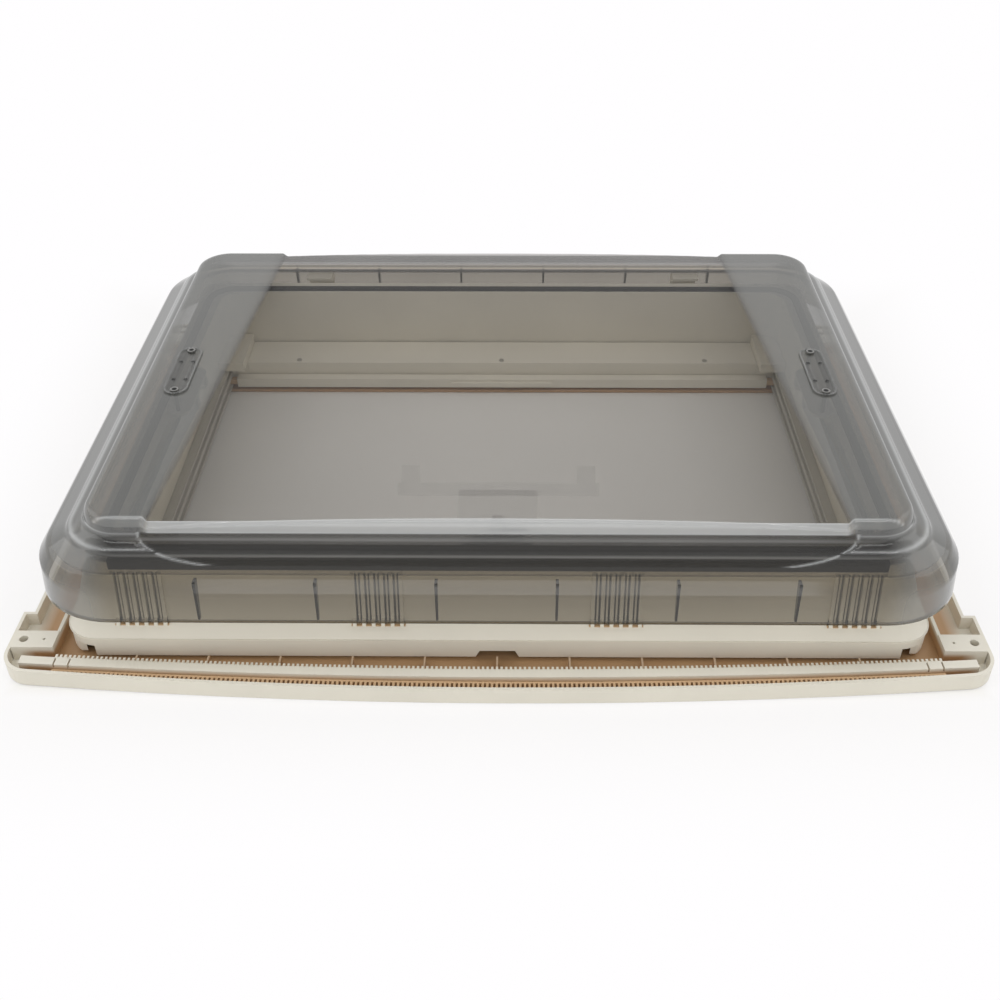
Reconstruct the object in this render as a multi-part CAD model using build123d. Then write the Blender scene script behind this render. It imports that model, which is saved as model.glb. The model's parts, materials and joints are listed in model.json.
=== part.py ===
from build123d import *
import math
import os

# Roof vent for a caravan: a ceiling trim, an outer frame with its throat, a smoked double-glazed
# dome on rear hinges and knee stays, a turn catch, a roller blind and a roller insect screen.
# Millimetres. X to the right, Y to the rear, Z up. The origin is at the centre of the underside.

# Roof cut-out and the frame that stands round it
cutout_width = 700
cutout_length = 500
flange_overlap = 30
throat_inset_side = 20
throat_inset_end = 12
throat_corner = 24
frame_corner = 30
frame_wall = 3
throat_height = 94.7
rim_lift = 2.7
rim_height = 20
ledge_rise = 12
ledge_run = 8
batter_side = 18
batter_end = 10
bead_size = 1.2
flange_level = 10
flange_thickness = 3
seat = 0.3
cut_overrun = 2

# Vent slots in the frame's front and rear walls
slot_groups_share = (-0.881, -0.294, 0.294, 0.881)
teeth_per_group = 6
tooth_pitch = 8.2
tooth_width = 3.2
tooth_depth = 2.2
slot_foot = 1
slot_height = 49
slot_rib = 1.6

# Openings in the rim's lower wall
window_width = 23
window_height = 11
window_from_corner = 15.5
notch_width = 38
notch_top = 31
notch_height = 7

# Ceiling trim
trim_margin = 50
trim_skin = 3
trim_wall = 3
trim_height = 16
trim_bow = 21.5
trim_corner = 26
trim_side_step = 10
trim_step_from_apex = 95
trim_opening_margin = 2
trim_cover = 13.5
band_width = 9
band_inset = 15
band_bow = 16
band_end_gap = 16
band_slit_width = 1.5
band_slit_depth = 4
band_slits_from_side = (60, 47)
rack_width = 5
comb_pitch = 4
comb_tooth = 2
comb_height = 5
comb_floor = 3
comb_spine = 2
comb_from_side = 45
rack_tooth_length = 3
partition_pitch = 63
partition_thickness = 1.6
partition_height = 9
partition_gap = 6

# Lugs at the trim's corners
lug_width = 37
lug_length = 21
lug_height = 15
lug_from_side = 4
lug_from_apex = 47
lug_wall = 3
lug_wall_length = 48
lug_hole = 8
lug_hole_from_side = 12.5
lug_pilot = 2.5
lug_pilot_from_side = 30.5

# Seal on the upstand, foam gasket under the flange and the roof clamps
seal_height = 4.2
seal_width = 11
seal_inset_side = 8
seal_inset_end = 2
strip_width = 10
strip_lip = 3
strip_drop = 6
gasket_inner = 19
gasket_outer = 3
gasket_height = 7.4
clamp_reach = 34
clamp_width = 14
clamp_thickness = 2.6
clamp_boss = 4.5
clamp_boss_gap = 0.5
clamp_boss_height = 8.5
clamp_screw = 2
clamp_screw_length = 9.4
clamp_head = 3.8
clamp_head_height = 1.1
clamp_from_corner_side = 130
clamp_from_corner_end = 150
drill_play = 0.05

# Dome, outer skin: how far each level stands in from the skirt's edge, and how high it is
dome_overhang = 20
dome_wall = 3
dome_corner = 74
crease_inset = 2
crease_rise = 30
shoulder_inset = 9
shoulder_rise = 42
terrace_b_inset = 24
terrace_b_rise = 52
step_b_run = 2
step_b_rise = 3.5
terrace_c_inset = 36.5
terrace_c_rise = 59.5
step_c_run = 2
step_c_rise = 4
brow_inset = 40
brow_rise = 71
edge_inset = 42.5
edge_rise = 75.5
plateau_inset = 46
plateau_rise = 77
side_spread_share = 1.2
recess_rear_gap = 50.7
recess_front_gap = 8.7
recess_depth = 8.4
recess_crown = 7.4
apron_beyond_recess = 8
apron_reach = 36
apron_back = 4
apron_foot_rise = 41
apron_head_drop = 4.5
rib_spacing = 100
rib_count = 6
rib_thickness = 2
rib_depth = 7
rib_clear = 1

# Dome, inner pane
pane_thickness = 2.5
pane_rise = 16
pane_gap = 2
pane_edge_gap = 3

# Rear hinges
hinge_from_edge = 15
hinge_above_edge = 7
hinge_from_side = 180
hinge_pin = 3
hinge_play = 0.05
knuckle = 6.5
leaf_width = 30
bracket_knuckle = 10
knuckle_gap = 0.4
bracket_height = 18
leaf_thickness = 3
leaf_reach = 22
leaf_rise = 9
pin_head = 5
pin_head_thickness = 1.5

# Knee stays
knee_from_throat = 23
stay_head_above_hinge = 27
stay_foot_above_hinge = 2
arm_thickness = 4
arm_width = 14
arm_boss = 8
arm_gap = 2
arm_wall_gap = 5
stay_pin = 3
stay_play = 0.05
stay_pin_head = 4.5
stay_pin_head_thickness = 1.4
foot_plate = 3.4
foot_plate_width = 30
foot_plate_height = 24

# Oval fixing of each stay through the dome
oval_place = -17
oval_length = 90
oval_width = 24
oval_height = 2
oval_rim = 2.2
oval_dish = 1
screw_spread = 76
screw_radius = 2
screw_head = 4
screw_head_height = 1.6
screw_play = 0.1
spacer_radius = 4.5
base_thickness = 3
ear_foot_front = 6
ear_foot_rear = 40

# Turn catch, its release button and its keeper
catch_from_throat = 35
catch_shaft = 6
catch_play = 0.05
catch_block_width = 70
catch_block_length = 38
catch_block_drop = 2.5
finger_length = 26
finger_width = 10
finger_thickness = 4
finger_gap = 1
catch_neck = 8
grip_length = 60
grip_width = 15
grip_height = 15
button_radius = 5
button_play = 0.08
button_proud = 3
button_travel = 2.5
button_skirt = 3
spring_wire = 0.5
spring_radius = 3
spring_turns = 5
keeper_width = 60
keeper_height = 22
keeper_thickness = 2.5
keeper_lip_width = 44
keeper_lip_reach = 16
keeper_lip_drop = 2
keeper_lip_thickness = 3

# Pull handle on the dome
handle_half = 80
handle_radius = 6
handle_from_catch = 30
handle_drop = 22.5
handle_foot = 8
handle_overhang = 12

# Roller cassettes, rails and pull bars
cassette_from_throat = 2
cassette_depth = 50
cassette_height = 28.7
cassette_wall = 1.6
cassette_slot = 3
cap_width = 28.7
cap_hood_height = 10.7
cap_hood_reach = 21
roll_radius = 10.5
tube_radius = 7.5
tube_bore = 6.4
tube_plug = 12
tube_play = 0.05
tube_end_gap = 1.2
axle_radius = 3
axle_reach = 13
axle_flange = 5
axle_flange_thickness = 0.9
rail_depth = 9.7
rail_groove = 7
rail_groove_depth = 6
rail_lift = 0.7
rail_height = 27
bar_depth = 11.5
bar_height = 11
bar_face_gap = 1
bar_end_gap = 7
lower_bar_lift = 2.7
upper_bar_lift = 15.7
shoe_length = 7
shoe_play = 0.4
shoe_in_rail = 5
pull_lip_length = 120
pull_lip_depth = 3
pull_lip_height = 4
sheet_thickness = 0.4
sheet_side_gap = 8
cassette_screw_from_end = 60.7
cassette_screw_inset = 6
cassette_screw_radius = 1.5
cassette_screw_head = 3
cassette_screw_head_height = 1
cassette_screw_length = 2.6

# Levels and half sizes that follow from the driving sizes
frame_base = trim_skin + seat
rim_base = frame_base + rim_lift
rim_top = rim_base + rim_height
ledge_top = rim_top + ledge_rise
upstand_top = frame_base + throat_height
flange_base = rim_base + flange_level
seal_top = upstand_top + seal_height
pane_base = seal_top + seat
dome_base = pane_base + pane_thickness - shoulder_rise
pane_ceiling = pane_base + pane_rise
pane_top = pane_ceiling + pane_thickness
wing_top = dome_base + plateau_rise

frame_x = cutout_width / 2 + flange_overlap
frame_y = cutout_length / 2 + flange_overlap
throat_x = cutout_width / 2 - throat_inset_side
throat_y = cutout_length / 2 - throat_inset_end
throat_out_x = throat_x + frame_wall
throat_out_y = throat_y + frame_wall
ledge_x = frame_x - ledge_run
ledge_y = frame_y - ledge_run
top_x = ledge_x - batter_side
top_y = ledge_y - batter_end
dome_x = frame_x + dome_overhang
dome_y = frame_y + dome_overhang
trim_x = frame_x + trim_margin
trim_y = frame_y + trim_margin
trim_step_y = trim_y - trim_step_from_apex
cassette_face = throat_y - cassette_from_throat - cassette_depth

hinge_y = dome_y - hinge_from_edge
hinge_z = dome_base + hinge_above_edge
hinge_place = dome_x - hinge_from_side
stay_reach_y = (hinge_y + throat_y - knee_from_throat) / 2

# Places along X of the stay's layers, from the throat's wall inwards
lower_arm_out = throat_x - arm_wall_gap
lower_arm_in = lower_arm_out - arm_thickness
upper_arm_out = lower_arm_in - arm_gap
upper_arm_in = upper_arm_out - arm_thickness
oval_x = upper_arm_in - arm_gap + stay_pin_head_thickness / 2
recess_front_half = oval_x - oval_width / 2 - recess_front_gap
recess_rear_half = oval_x - oval_width / 2 - recess_rear_gap
apron_half = recess_front_half + apron_beyond_recess


def block(x0, x1, y0, y1, z0, z1):
    """A box between two corners."""
    centre = ((x0 + x1) / 2, (y0 + y1) / 2, (z0 + z1) / 2)
    return Pos(*centre) * Box(x1 - x0, y1 - y0, z1 - z0)


def both_sides(solid):
    """A solid on the right and its mirror image on the left."""
    return [solid, mirror(solid, Plane.YZ)]


def plan(half_x, half_y, corner, z):
    """A rounded rectangle at a level."""
    return Pos(0, 0, z) * RectangleRounded(2 * half_x, 2 * half_y, corner)


def slab(half_x, half_y, corner, z0, z1):
    """A rounded rectangular plate between two levels."""
    return extrude(plan(half_x, half_y, corner, z0), z1 - z0)


def ring(outer, inner, z0, z1):
    """A plate with an opening; outer and inner are half width, half length and corner."""
    return slab(*outer, z0, z1) - slab(*inner, z0 - cut_overrun, z1 + cut_overrun)


def stack(levels):
    """A body with straight flanks between rounded rectangles at rising levels."""
    return loft([plan(*level).face() for level in levels], ruled=True)


def rod(x0, x1, y, z, radius):
    """A round bar along X."""
    return extrude(Plane(origin=(x0, y, z), z_dir=(1, 0, 0)) * Circle(radius), x1 - x0)


def post(x, y, z0, z1, radius):
    """A round bar along Z."""
    return extrude(Pos(x, y, z0) * Circle(radius), z1 - z0)


def save(name, *solids):
    """Write one node of one or more separate solids."""
    pieces = [piece for solid in solids for piece in solid.solids()]
    if len(pieces) == 1:
        export_step(pieces[0], f"parts/{name}.step")
    else:
        export_step(Compound(children=pieces), f"parts/{name}.step")


# Ceiling trim

def trim_plan(inset):
    """The trim's outline: straight sides, bowed front and rear edges, rounded corners."""
    half_x = trim_x - inset
    apex = trim_y - inset
    end = apex - trim_bow
    front = ThreePointArc((-half_x, -end), (0, -apex), (half_x, -end))
    right = Line((half_x, -end), (half_x, end))
    rear = ThreePointArc((half_x, end), (0, apex), (-half_x, end))
    left = Line((-half_x, end), (-half_x, -end))
    face = make_face([front, right, rear, left])
    return fillet(face.vertices(), trim_corner - inset)


def bow_reach(x, inset):
    """How far the bowed edge stands from the centre line at a place along X."""
    half_x = trim_x - inset
    radius = (half_x**2 + trim_bow**2) / (2 * trim_bow)
    return trim_y - inset - radius + math.sqrt(radius**2 - x**2)


def band_reach(x, inset):
    """How far the band's bowed edge stands from the centre line at a place along X."""
    radius = (trim_x**2 + band_bow**2) / (2 * band_bow)
    return trim_y - inset - radius + math.sqrt(radius**2 - x**2)


def bowed_strip(half, outer, inner):
    """A strip along the front between two edges bowed like the band, given by their insets."""
    edges = []
    for inset in (outer, inner):
        ends = -band_reach(half, inset)
        edges.append(ThreePointArc((-half, ends), (0, inset - trim_y), (half, ends)))
    sides = [Line(edges[0] @ 1, edges[1] @ 1), Line(edges[1] @ 0, edges[0] @ 0)]
    return make_face(edges + sides)


def ceiling_trim():
    body = extrude(trim_plan(0), trim_height)
    body -= Pos(0, 0, trim_skin) * extrude(trim_plan(trim_wall), trim_height)
    step_x = trim_x - trim_side_step
    side_cut = block(step_x, trim_x + cut_overrun, -trim_step_y, trim_step_y,
                     -cut_overrun, trim_height + cut_overrun)
    for cut in both_sides(side_cut):
        body -= cut
    side_wall = block(step_x - trim_wall, step_x, -trim_step_y, trim_step_y,
                      0, trim_height)
    for end in (-1, 1):
        near, far = sorted((end * trim_step_y, end * (trim_step_y + trim_wall)))
        side_wall += block(step_x - trim_wall, trim_x - trim_wall, near, far, 0, trim_height)
    body += both_sides(side_wall)
    opening_x = throat_x + trim_opening_margin
    opening_y = cassette_face - trim_cover
    body -= block(-opening_x, opening_x, -opening_y, opening_y,
                  -cut_overrun, trim_skin + cut_overrun)
    band_x = trim_x - band_end_gap
    band = bowed_strip(band_x, band_inset, band_inset + band_width)
    band = Pos(0, 0, trim_skin) * extrude(band, trim_height - trim_skin)
    for inset in band_slits_from_side:
        for side in (-1, 1):
            x = side * (trim_x - inset)
            reach = band_reach(x, band_inset)
            band -= block(x - band_slit_width / 2, x + band_slit_width / 2,
                          -reach - cut_overrun, band_width - reach + cut_overrun,
                          trim_height - band_slit_depth, trim_height + cut_overrun)
    partitions = int(band_x / partition_pitch)
    for index in range(-partitions, partitions + 1):
        x = index * partition_pitch
        band += block(x - partition_thickness / 2, x + partition_thickness / 2,
                      band_width / 2 - band_reach(x, band_inset), -frame_y - partition_gap,
                      trim_skin - partition_thickness, trim_skin + partition_height)
    band &= extrude(trim_plan(0), trim_height)
    lug_x1 = trim_x - lug_from_side
    lug_x0 = lug_x1 - lug_width
    lug_y0 = lug_from_apex - trim_y
    lug_y1 = lug_y0 + lug_length
    lug = block(lug_x0, lug_x1, lug_y0, lug_y1, trim_skin - lug_wall / 2, trim_skin + lug_height)
    lug += block(lug_x0, lug_x0 + lug_wall, lug_y0, lug_y0 + lug_wall_length,
                 trim_skin - lug_wall / 2, trim_height)
    front = [band] + both_sides(lug)
    for piece in front:
        body += piece
        body += mirror(piece, Plane.XZ)
    hole_y = lug_y0 + lug_length / 2
    for x in (trim_x - lug_hole_from_side, lug_hole_from_side - trim_x):
        for y in (hole_y, -hole_y):
            body -= post(x, y, -cut_overrun, trim_height + lug_height, lug_hole / 2)
    for x in (trim_x - lug_pilot_from_side, lug_pilot_from_side - trim_x):
        for y in (hole_y, -hole_y):
            body -= post(x, y, -cut_overrun, trim_height + lug_height, lug_pilot / 2)
    return body


def tooth_places():
    """Where the comb's teeth start along X, and half the comb's length."""
    count = int(2 * (trim_x - comb_from_side) / comb_pitch)
    half = (count * comb_pitch + comb_tooth) / 2
    return [index * comb_pitch - half for index in range(count + 1)], half


def vent_comb():
    """Row of ribs that lets air pass between the band and the trim's front wall."""
    places, half = tooth_places()
    spine = band_inset - seat
    spine_front = spine - comb_spine
    base = trim_skin + comb_floor
    comb = bowed_strip(half, spine_front, spine)
    comb = Pos(0, 0, trim_skin) * extrude(comb, base + comb_height - trim_skin)
    points = [(-half, -band_reach(half, spine - comb_spine / 2))]
    for x in places:
        end = x + comb_tooth
        tip = -min(bow_reach(x, trim_wall + seat), bow_reach(end, trim_wall + seat))
        points += [(x, -band_reach(x, spine_front)), (x, tip), (end, tip),
                   (end, -band_reach(end, spine_front))]
    points.append((half, -band_reach(half, spine - comb_spine / 2)))
    middle = ThreePointArc(points[-1], (0, spine - comb_spine / 2 - trim_y), points[0])
    teeth = make_face([Polyline(points), middle])
    return comb + Pos(0, 0, base) * extrude(teeth, comb_height)


def vent_rack():
    """Fine rack along the band's rear edge, on the partitions."""
    places, half = tooth_places()
    front = band_inset + band_width + seat
    root = front + rack_width - rack_tooth_length
    points = [(-half, -band_reach(half, front))]
    for x in places:
        end = x + comb_tooth
        tip = -band_reach(x, front + rack_width)
        points += [(x, -band_reach(x, root)), (x, tip), (end, tip), (end, -band_reach(end, root))]
    points.append((half, -band_reach(half, front)))
    edge = ThreePointArc(points[-1], (0, front - trim_y), points[0])
    face = make_face([Polyline(points), edge])
    return Pos(0, 0, trim_skin + partition_height + seat) * extrude(face, comb_spine)


save("ceiling_trim", ceiling_trim())
comb = vent_comb()
save("vent_combs_front", comb)
save("vent_combs_rear", mirror(comb, Plane.XZ))
rack = vent_rack()
save("vent_racks", rack, mirror(rack, Plane.XZ))


# Outer frame

def outer_frame():
    top_corner = frame_corner - ledge_run
    body = stack([
        (frame_x, frame_y, frame_corner, rim_base),
        (frame_x, frame_y, frame_corner, rim_top),
        (ledge_x, ledge_y, top_corner, ledge_top),
        (top_x, top_y, top_corner, upstand_top),
    ])
    body -= stack([
        (frame_x - frame_wall, frame_y - frame_wall, frame_corner - frame_wall,
         rim_base - cut_overrun),
        (frame_x - frame_wall, frame_y - frame_wall, frame_corner - frame_wall, rim_top),
        (ledge_x - frame_wall, ledge_y - frame_wall, top_corner - frame_wall, ledge_top),
        (top_x - frame_wall, top_y - frame_wall, top_corner - frame_wall,
         upstand_top - frame_wall),
    ])
    body += ring((frame_x + bead_size, frame_y + bead_size, frame_corner + bead_size),
                 (frame_x - frame_wall, frame_y - frame_wall, frame_corner - frame_wall),
                 rim_top - bead_size, rim_top)
    body += ring((frame_x - frame_wall / 2, frame_y - frame_wall / 2, frame_corner - frame_wall),
                 (throat_x, throat_y, throat_corner), flange_base, flange_base + flange_thickness)
    body += slab(throat_out_x, throat_out_y, throat_corner + frame_wall, frame_base, upstand_top)
    for x, y in clamp_places():
        body += post(x, y, flange_base - clamp_boss_height, flange_base, clamp_boss)
        body -= post(x, y, flange_base - clamp_boss_height - cut_overrun, flange_base,
                     clamp_screw + drill_play)
    body -= slab(throat_x, throat_y, throat_corner, frame_base - cut_overrun,
                 upstand_top + cut_overrun)
    cuts = []
    teeth = []
    slot_base = ledge_top + slot_foot
    slot_top = slot_base + slot_height
    lean = batter_end / (upstand_top - ledge_top)
    foot_y = ledge_y - lean * slot_foot
    head_y = foot_y - lean * slot_height
    for share in slot_groups_share:
        middle = share * cutout_width / 2
        first = middle - (teeth_per_group - 1) * tooth_pitch / 2
        for index in range(teeth_per_group):
            x = first + index * tooth_pitch
            side = Plane(origin=(x - tooth_width / 2, 0, 0), x_dir=(0, 1, 0), z_dir=(1, 0, 0))
            outline = Polyline([
                (-foot_y - tooth_depth, slot_base - slot_foot),
                (-head_y - tooth_depth, slot_top),
                (frame_wall / 2 - head_y, slot_top + slot_foot),
                (frame_wall / 2 - foot_y, slot_base - slot_foot),
            ], close=True)
            teeth.append(extrude(side * make_face(outline), tooth_width))
            if index:
                gap_middle = x - tooth_pitch / 2
                gap_half = (tooth_pitch - tooth_width) / 2
                for near, far in ((gap_middle - gap_half, gap_middle - slot_rib / 2),
                                  (gap_middle + slot_rib / 2, gap_middle + gap_half)):
                    cuts.append(block(near, far, -ledge_y - cut_overrun,
                                      frame_wall + cut_overrun - head_y, slot_base, slot_top))
    for side in (-1, 1):
        middle = side * (frame_x - window_from_corner)
        cuts.append(block(middle - window_width / 2, middle + window_width / 2,
                          -frame_y - cut_overrun, 2 * frame_wall - frame_y,
                          rim_base - cut_overrun, rim_base + window_height))
    notch = Polyline([
        (-notch_width / 2, rim_base - cut_overrun),
        (notch_width / 2, rim_base - cut_overrun),
        (notch_width / 2, rim_base),
        (notch_top / 2, rim_base + notch_height),
        (-notch_top / 2, rim_base + notch_height),
        (-notch_width / 2, rim_base),
    ], close=True)
    face = Plane(origin=(0, -frame_y - cut_overrun, 0), x_dir=(1, 0, 0), z_dir=(0, -1, 0))
    cuts.append(extrude(face * make_face(notch), -2 * frame_wall - cut_overrun))
    body += teeth + [mirror(tooth, Plane.XZ) for tooth in teeth]
    body -= cuts + [mirror(cut, Plane.XZ) for cut in cuts]
    return body


def clamp_axes():
    """How far the clamp screws stand out from the centre lines."""
    offset = clamp_boss + clamp_boss_gap
    return throat_out_x + offset, throat_out_y + offset


def clamp_places():
    """Clamp screws: two along each side and two along each end."""
    x, y = clamp_axes()
    along_side = cutout_length / 2 - clamp_from_corner_side
    along_end = cutout_width / 2 - clamp_from_corner_end
    places = [(sx * x, sy * along_side) for sx in (-1, 1) for sy in (-1, 1)]
    places += [(sx * along_end, sy * y) for sx in (-1, 1) for sy in (-1, 1)]
    return places


def roof_clamps():
    """Dogs that turn out under the roof skin, and the screws that draw them up."""
    dogs = []
    screws = []
    top = flange_base - clamp_boss_height - seat
    side_x, end_y = clamp_axes()
    for x, y in clamp_places():
        on_side = abs(abs(x) - side_x) < clamp_boss
        outward = math.copysign(1, x) if on_side else math.copysign(1, y)
        middle = outward * (clamp_reach / 2 - clamp_boss)
        if on_side:
            dog = Pos(x + middle, y, top - clamp_thickness / 2) * Box(
                clamp_reach, clamp_width, clamp_thickness)
        else:
            dog = Pos(x, y + middle, top - clamp_thickness / 2) * Box(
                clamp_width, clamp_reach, clamp_thickness)
        dogs.append(dog - post(x, y, frame_base, flange_base, clamp_screw + screw_play))
        under = top - clamp_thickness
        screw = post(x, y, under - clamp_head_height, under, clamp_head)
        screws.append(screw + post(x, y, under, under + clamp_screw_length, clamp_screw))
    return dogs, screws


save("outer_frame", outer_frame())
dogs, screws = roof_clamps()
save("roof_clamps", *dogs)
save("clamp_screws", *screws)

gasket = ring((frame_x - frame_wall - gasket_outer, frame_y - frame_wall - gasket_outer,
               frame_corner - frame_wall),
              (throat_out_x + gasket_inner, throat_out_y + clamp_boss + clamp_boss * 2,
               throat_corner),
              flange_base - seat - gasket_height, flange_base - seat)
save("roof_gasket", gasket)

seal_inner = (throat_x + seal_inset_side, throat_y + seal_inset_end, throat_corner)
seal_outer = (throat_x + seal_inset_side + seal_width - seal_inset_end,
              throat_y + seal_inset_end + seal_width, throat_corner + seal_width)
save("dome_seal", ring(seal_outer, seal_inner, upstand_top, seal_top))


def front_strip():
    """Black vent strip with a lip that hangs over the front of the upstand."""
    inner = throat_y + seal_inset_end + seal_width + seat
    outer = top_y + seat
    strip = block(-throat_x, throat_x, -outer, -inner, upstand_top, seal_top - seat)
    strip += block(-throat_x, throat_x, -outer - strip_lip, -outer,
                   upstand_top - strip_drop, seal_top - seat)
    lean = batter_end / (upstand_top - ledge_top)
    shave = Plane(origin=(-throat_x - cut_overrun, 0, 0), x_dir=(0, 1, 0), z_dir=(1, 0, 0))
    wall = Polyline([
        (seat - top_y - 2 * seat, upstand_top),
        (-top_y - 2 * seat - lean * strip_drop, upstand_top - strip_drop - seat),
        (strip_width - top_y, upstand_top - strip_drop - seat),
        (strip_width - top_y, upstand_top),
    ], close=True)
    return strip - extrude(shave * make_face(wall), 2 * (throat_x + cut_overrun))


save("front_vent_strip", front_strip())


# Dome

def dome_levels(wall):
    """Levels of the dome's skin, moved in and down by a wall thickness."""
    table = [
        (0, 0),
        (crease_inset, crease_rise),
        (shoulder_inset, shoulder_rise),
        (terrace_b_inset, terrace_b_rise),
        (terrace_b_inset + step_b_run, terrace_b_rise + step_b_rise),
        (terrace_c_inset, terrace_c_rise),
        (terrace_c_inset + step_c_run, terrace_c_rise + step_c_rise),
        (brow_inset, brow_rise),
        (edge_inset, edge_rise),
        (plateau_inset, plateau_rise),
    ]
    levels = []
    for inset, rise in table:
        drop = wall * rise / plateau_rise
        base = -cut_overrun if wall and not rise else rise - drop
        levels.append((dome_x - side_spread_share * inset - wall, dome_y - inset - wall,
                       dome_corner - inset - wall, dome_base + base))
    return levels


def recess(wall):
    """What is taken away between the two wings, down to the crowned middle panel."""
    rear = dome_y + cut_overrun
    front = plateau_inset - dome_y
    outline = Polyline([
        (-recess_rear_half - wall, rear),
        (recess_rear_half + wall, rear),
        (recess_front_half + wall, front),
        (recess_front_half + wall, -dome_y - cut_overrun),
        (-recess_front_half - wall, -dome_y - cut_overrun),
        (-recess_front_half - wall, front),
    ], close=True)
    floor = wing_top - recess_depth - wall
    cutter = Pos(0, 0, floor) * extrude(make_face(outline), recess_depth + wall + cut_overrun)
    radius = (recess_front_half**2 + recess_crown**2) / (2 * recess_crown)
    crown = Plane(origin=(0, -dome_y - 2 * cut_overrun, floor + recess_crown - radius),
                  z_dir=(0, 1, 0))
    return cutter - extrude(crown * Circle(radius), 2 * dome_y + 4 * cut_overrun)


def apron():
    """Smooth slope that carries the middle panel down over the front terraces."""
    edge = plateau_inset - dome_y
    base = dome_base + crease_rise
    foot = dome_base + apron_foot_rise
    head = wing_top - apron_head_drop
    shape = Pos(0, edge, base) * extrude(Ellipse(apron_half, apron_reach), wing_top - base)
    side = Plane(origin=(-apron_half, 0, 0), x_dir=(0, 1, 0), z_dir=(1, 0, 0))
    outline = Polyline([
        (edge + apron_back, base),
        (edge + apron_back, head - apron_head_drop),
        (edge, head),
        (edge - apron_reach, foot),
        (edge - apron_reach - cut_overrun, base),
    ], close=True)
    return shape & extrude(side * make_face(outline), 2 * apron_half)


def dome_outer():
    body = stack(dome_levels(0)) - recess(0)
    body += apron()
    body -= stack(dome_levels(dome_wall)) - recess(dome_wall)
    face = dome_wall - dome_y + crease_inset / 2
    ribs = []
    for index in range(rib_count):
        x = (index - (rib_count - 1) / 2) * rib_spacing
        rib = block(x - rib_thickness / 2, x + rib_thickness / 2, face - dome_wall / 2,
                    face + rib_depth, dome_base + rib_clear, pane_base - rib_clear)
        ribs += [rib, mirror(rib, Plane.XZ)]
    rim = stack(dome_levels(0)[:3])
    body += [rib & rim for rib in ribs]
    for x, y in screw_places():
        body -= post(x, y, pane_top + seat, wing_top + cut_overrun, screw_radius + screw_play)
    return body


def screw_places():
    """Screws through the dome: one at each end of each oval."""
    ends = (oval_place - screw_spread / 2, oval_place + screw_spread / 2)
    return [(side * oval_x, y) for side in (-1, 1) for y in ends]


def dome_inner():
    inset = shoulder_inset + pane_edge_gap
    flange = (dome_x - side_spread_share * inset - dome_wall, dome_y - inset - dome_wall,
              dome_corner - inset - dome_wall)
    inner_x = throat_x - pane_gap
    inner_y = throat_y - pane_gap
    body = slab(*flange, pane_base, pane_base + pane_thickness)
    body += slab(inner_x + pane_thickness, inner_y + pane_thickness,
                 throat_corner + pane_thickness, pane_base, pane_top)
    body -= slab(inner_x, inner_y, throat_corner, pane_base - cut_overrun, pane_ceiling)
    for x, y in screw_places():
        body -= post(x, y, pane_ceiling - cut_overrun, pane_top + cut_overrun,
                     screw_radius + screw_play)
    return body


save("dome_outer", dome_outer())
save("dome_inner", dome_inner())


# Rear hinges

def hinge_bracket(x):
    """Frame half of a hinge: a foot on the upstand's rear wall and two knuckles."""
    inner = leaf_width / 2 + knuckle_gap
    outer = inner + bracket_knuckle
    lean = batter_end / (upstand_top - ledge_top)
    low = hinge_z - bracket_height / 2
    high = hinge_z + bracket_height / 2
    wall_low = top_y + lean * (upstand_top - low) + seat
    wall_high = top_y + lean * (upstand_top - high) + seat
    side = Plane(origin=(x - outer, 0, 0), x_dir=(0, 1, 0), z_dir=(1, 0, 0))
    foot_end = hinge_y - knuckle - knuckle_gap * 2
    foot = Polyline([(wall_low, low), (foot_end, low), (foot_end, high), (wall_high, high)],
                    close=True)
    body = extrude(side * make_face(foot), 2 * outer)
    for start in (x - outer, x + inner):
        body += rod(start, start + bracket_knuckle, hinge_y, hinge_z, knuckle)
        body += block(start, start + bracket_knuckle, foot_end - knuckle_gap, hinge_y,
                      hinge_z - knuckle, hinge_z + knuckle)
    return body - rod(x - outer - cut_overrun, x + outer + cut_overrun, hinge_y, hinge_z,
                      hinge_pin + hinge_play)


def hinge_pin_at(x):
    half = leaf_width / 2 + knuckle_gap + bracket_knuckle
    body = rod(x - half - seat, x + half + seat, hinge_y, hinge_z, hinge_pin)
    for start in (x - half - seat - pin_head_thickness, x + half + seat):
        body += rod(start, start + pin_head_thickness, hinge_y, hinge_z, pin_head)
    return body


def hinge_leaf(x):
    """Dome half of a hinge: a knuckle and a plate bonded up against the pane's flange."""
    half = leaf_width / 2
    body = rod(x - half, x + half, hinge_y, hinge_z, knuckle)
    plate_top = pane_base - seat
    plate_y = dome_y - shoulder_inset - dome_wall - seat
    side = Plane(origin=(x - half, 0, 0), x_dir=(0, 1, 0), z_dir=(1, 0, 0))
    web = Polyline([
        (hinge_y, hinge_z),
        (hinge_y + knuckle, hinge_z),
        (hinge_y + knuckle, plate_top - leaf_rise),
        (plate_y, plate_top),
        (plate_y - leaf_reach, plate_top),
        (plate_y - leaf_reach, plate_top - leaf_thickness),
        (hinge_y, plate_top - leaf_thickness - leaf_rise),
    ], close=True)
    body += extrude(side * make_face(web), leaf_width)
    return body - rod(x - half - cut_overrun, x + half + cut_overrun, hinge_y, hinge_z,
                      hinge_pin + hinge_play)


for name, x in (("left", -hinge_place), ("right", hinge_place)):
    save(f"hinge_bracket_{name}", hinge_bracket(x))
    save(f"hinge_leaf_{name}", hinge_leaf(x))
save("hinge_pins", hinge_pin_at(-hinge_place), hinge_pin_at(hinge_place))


# Knee stays: hinge, stay head, knee and stay foot are the corners of a rhombus

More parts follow.
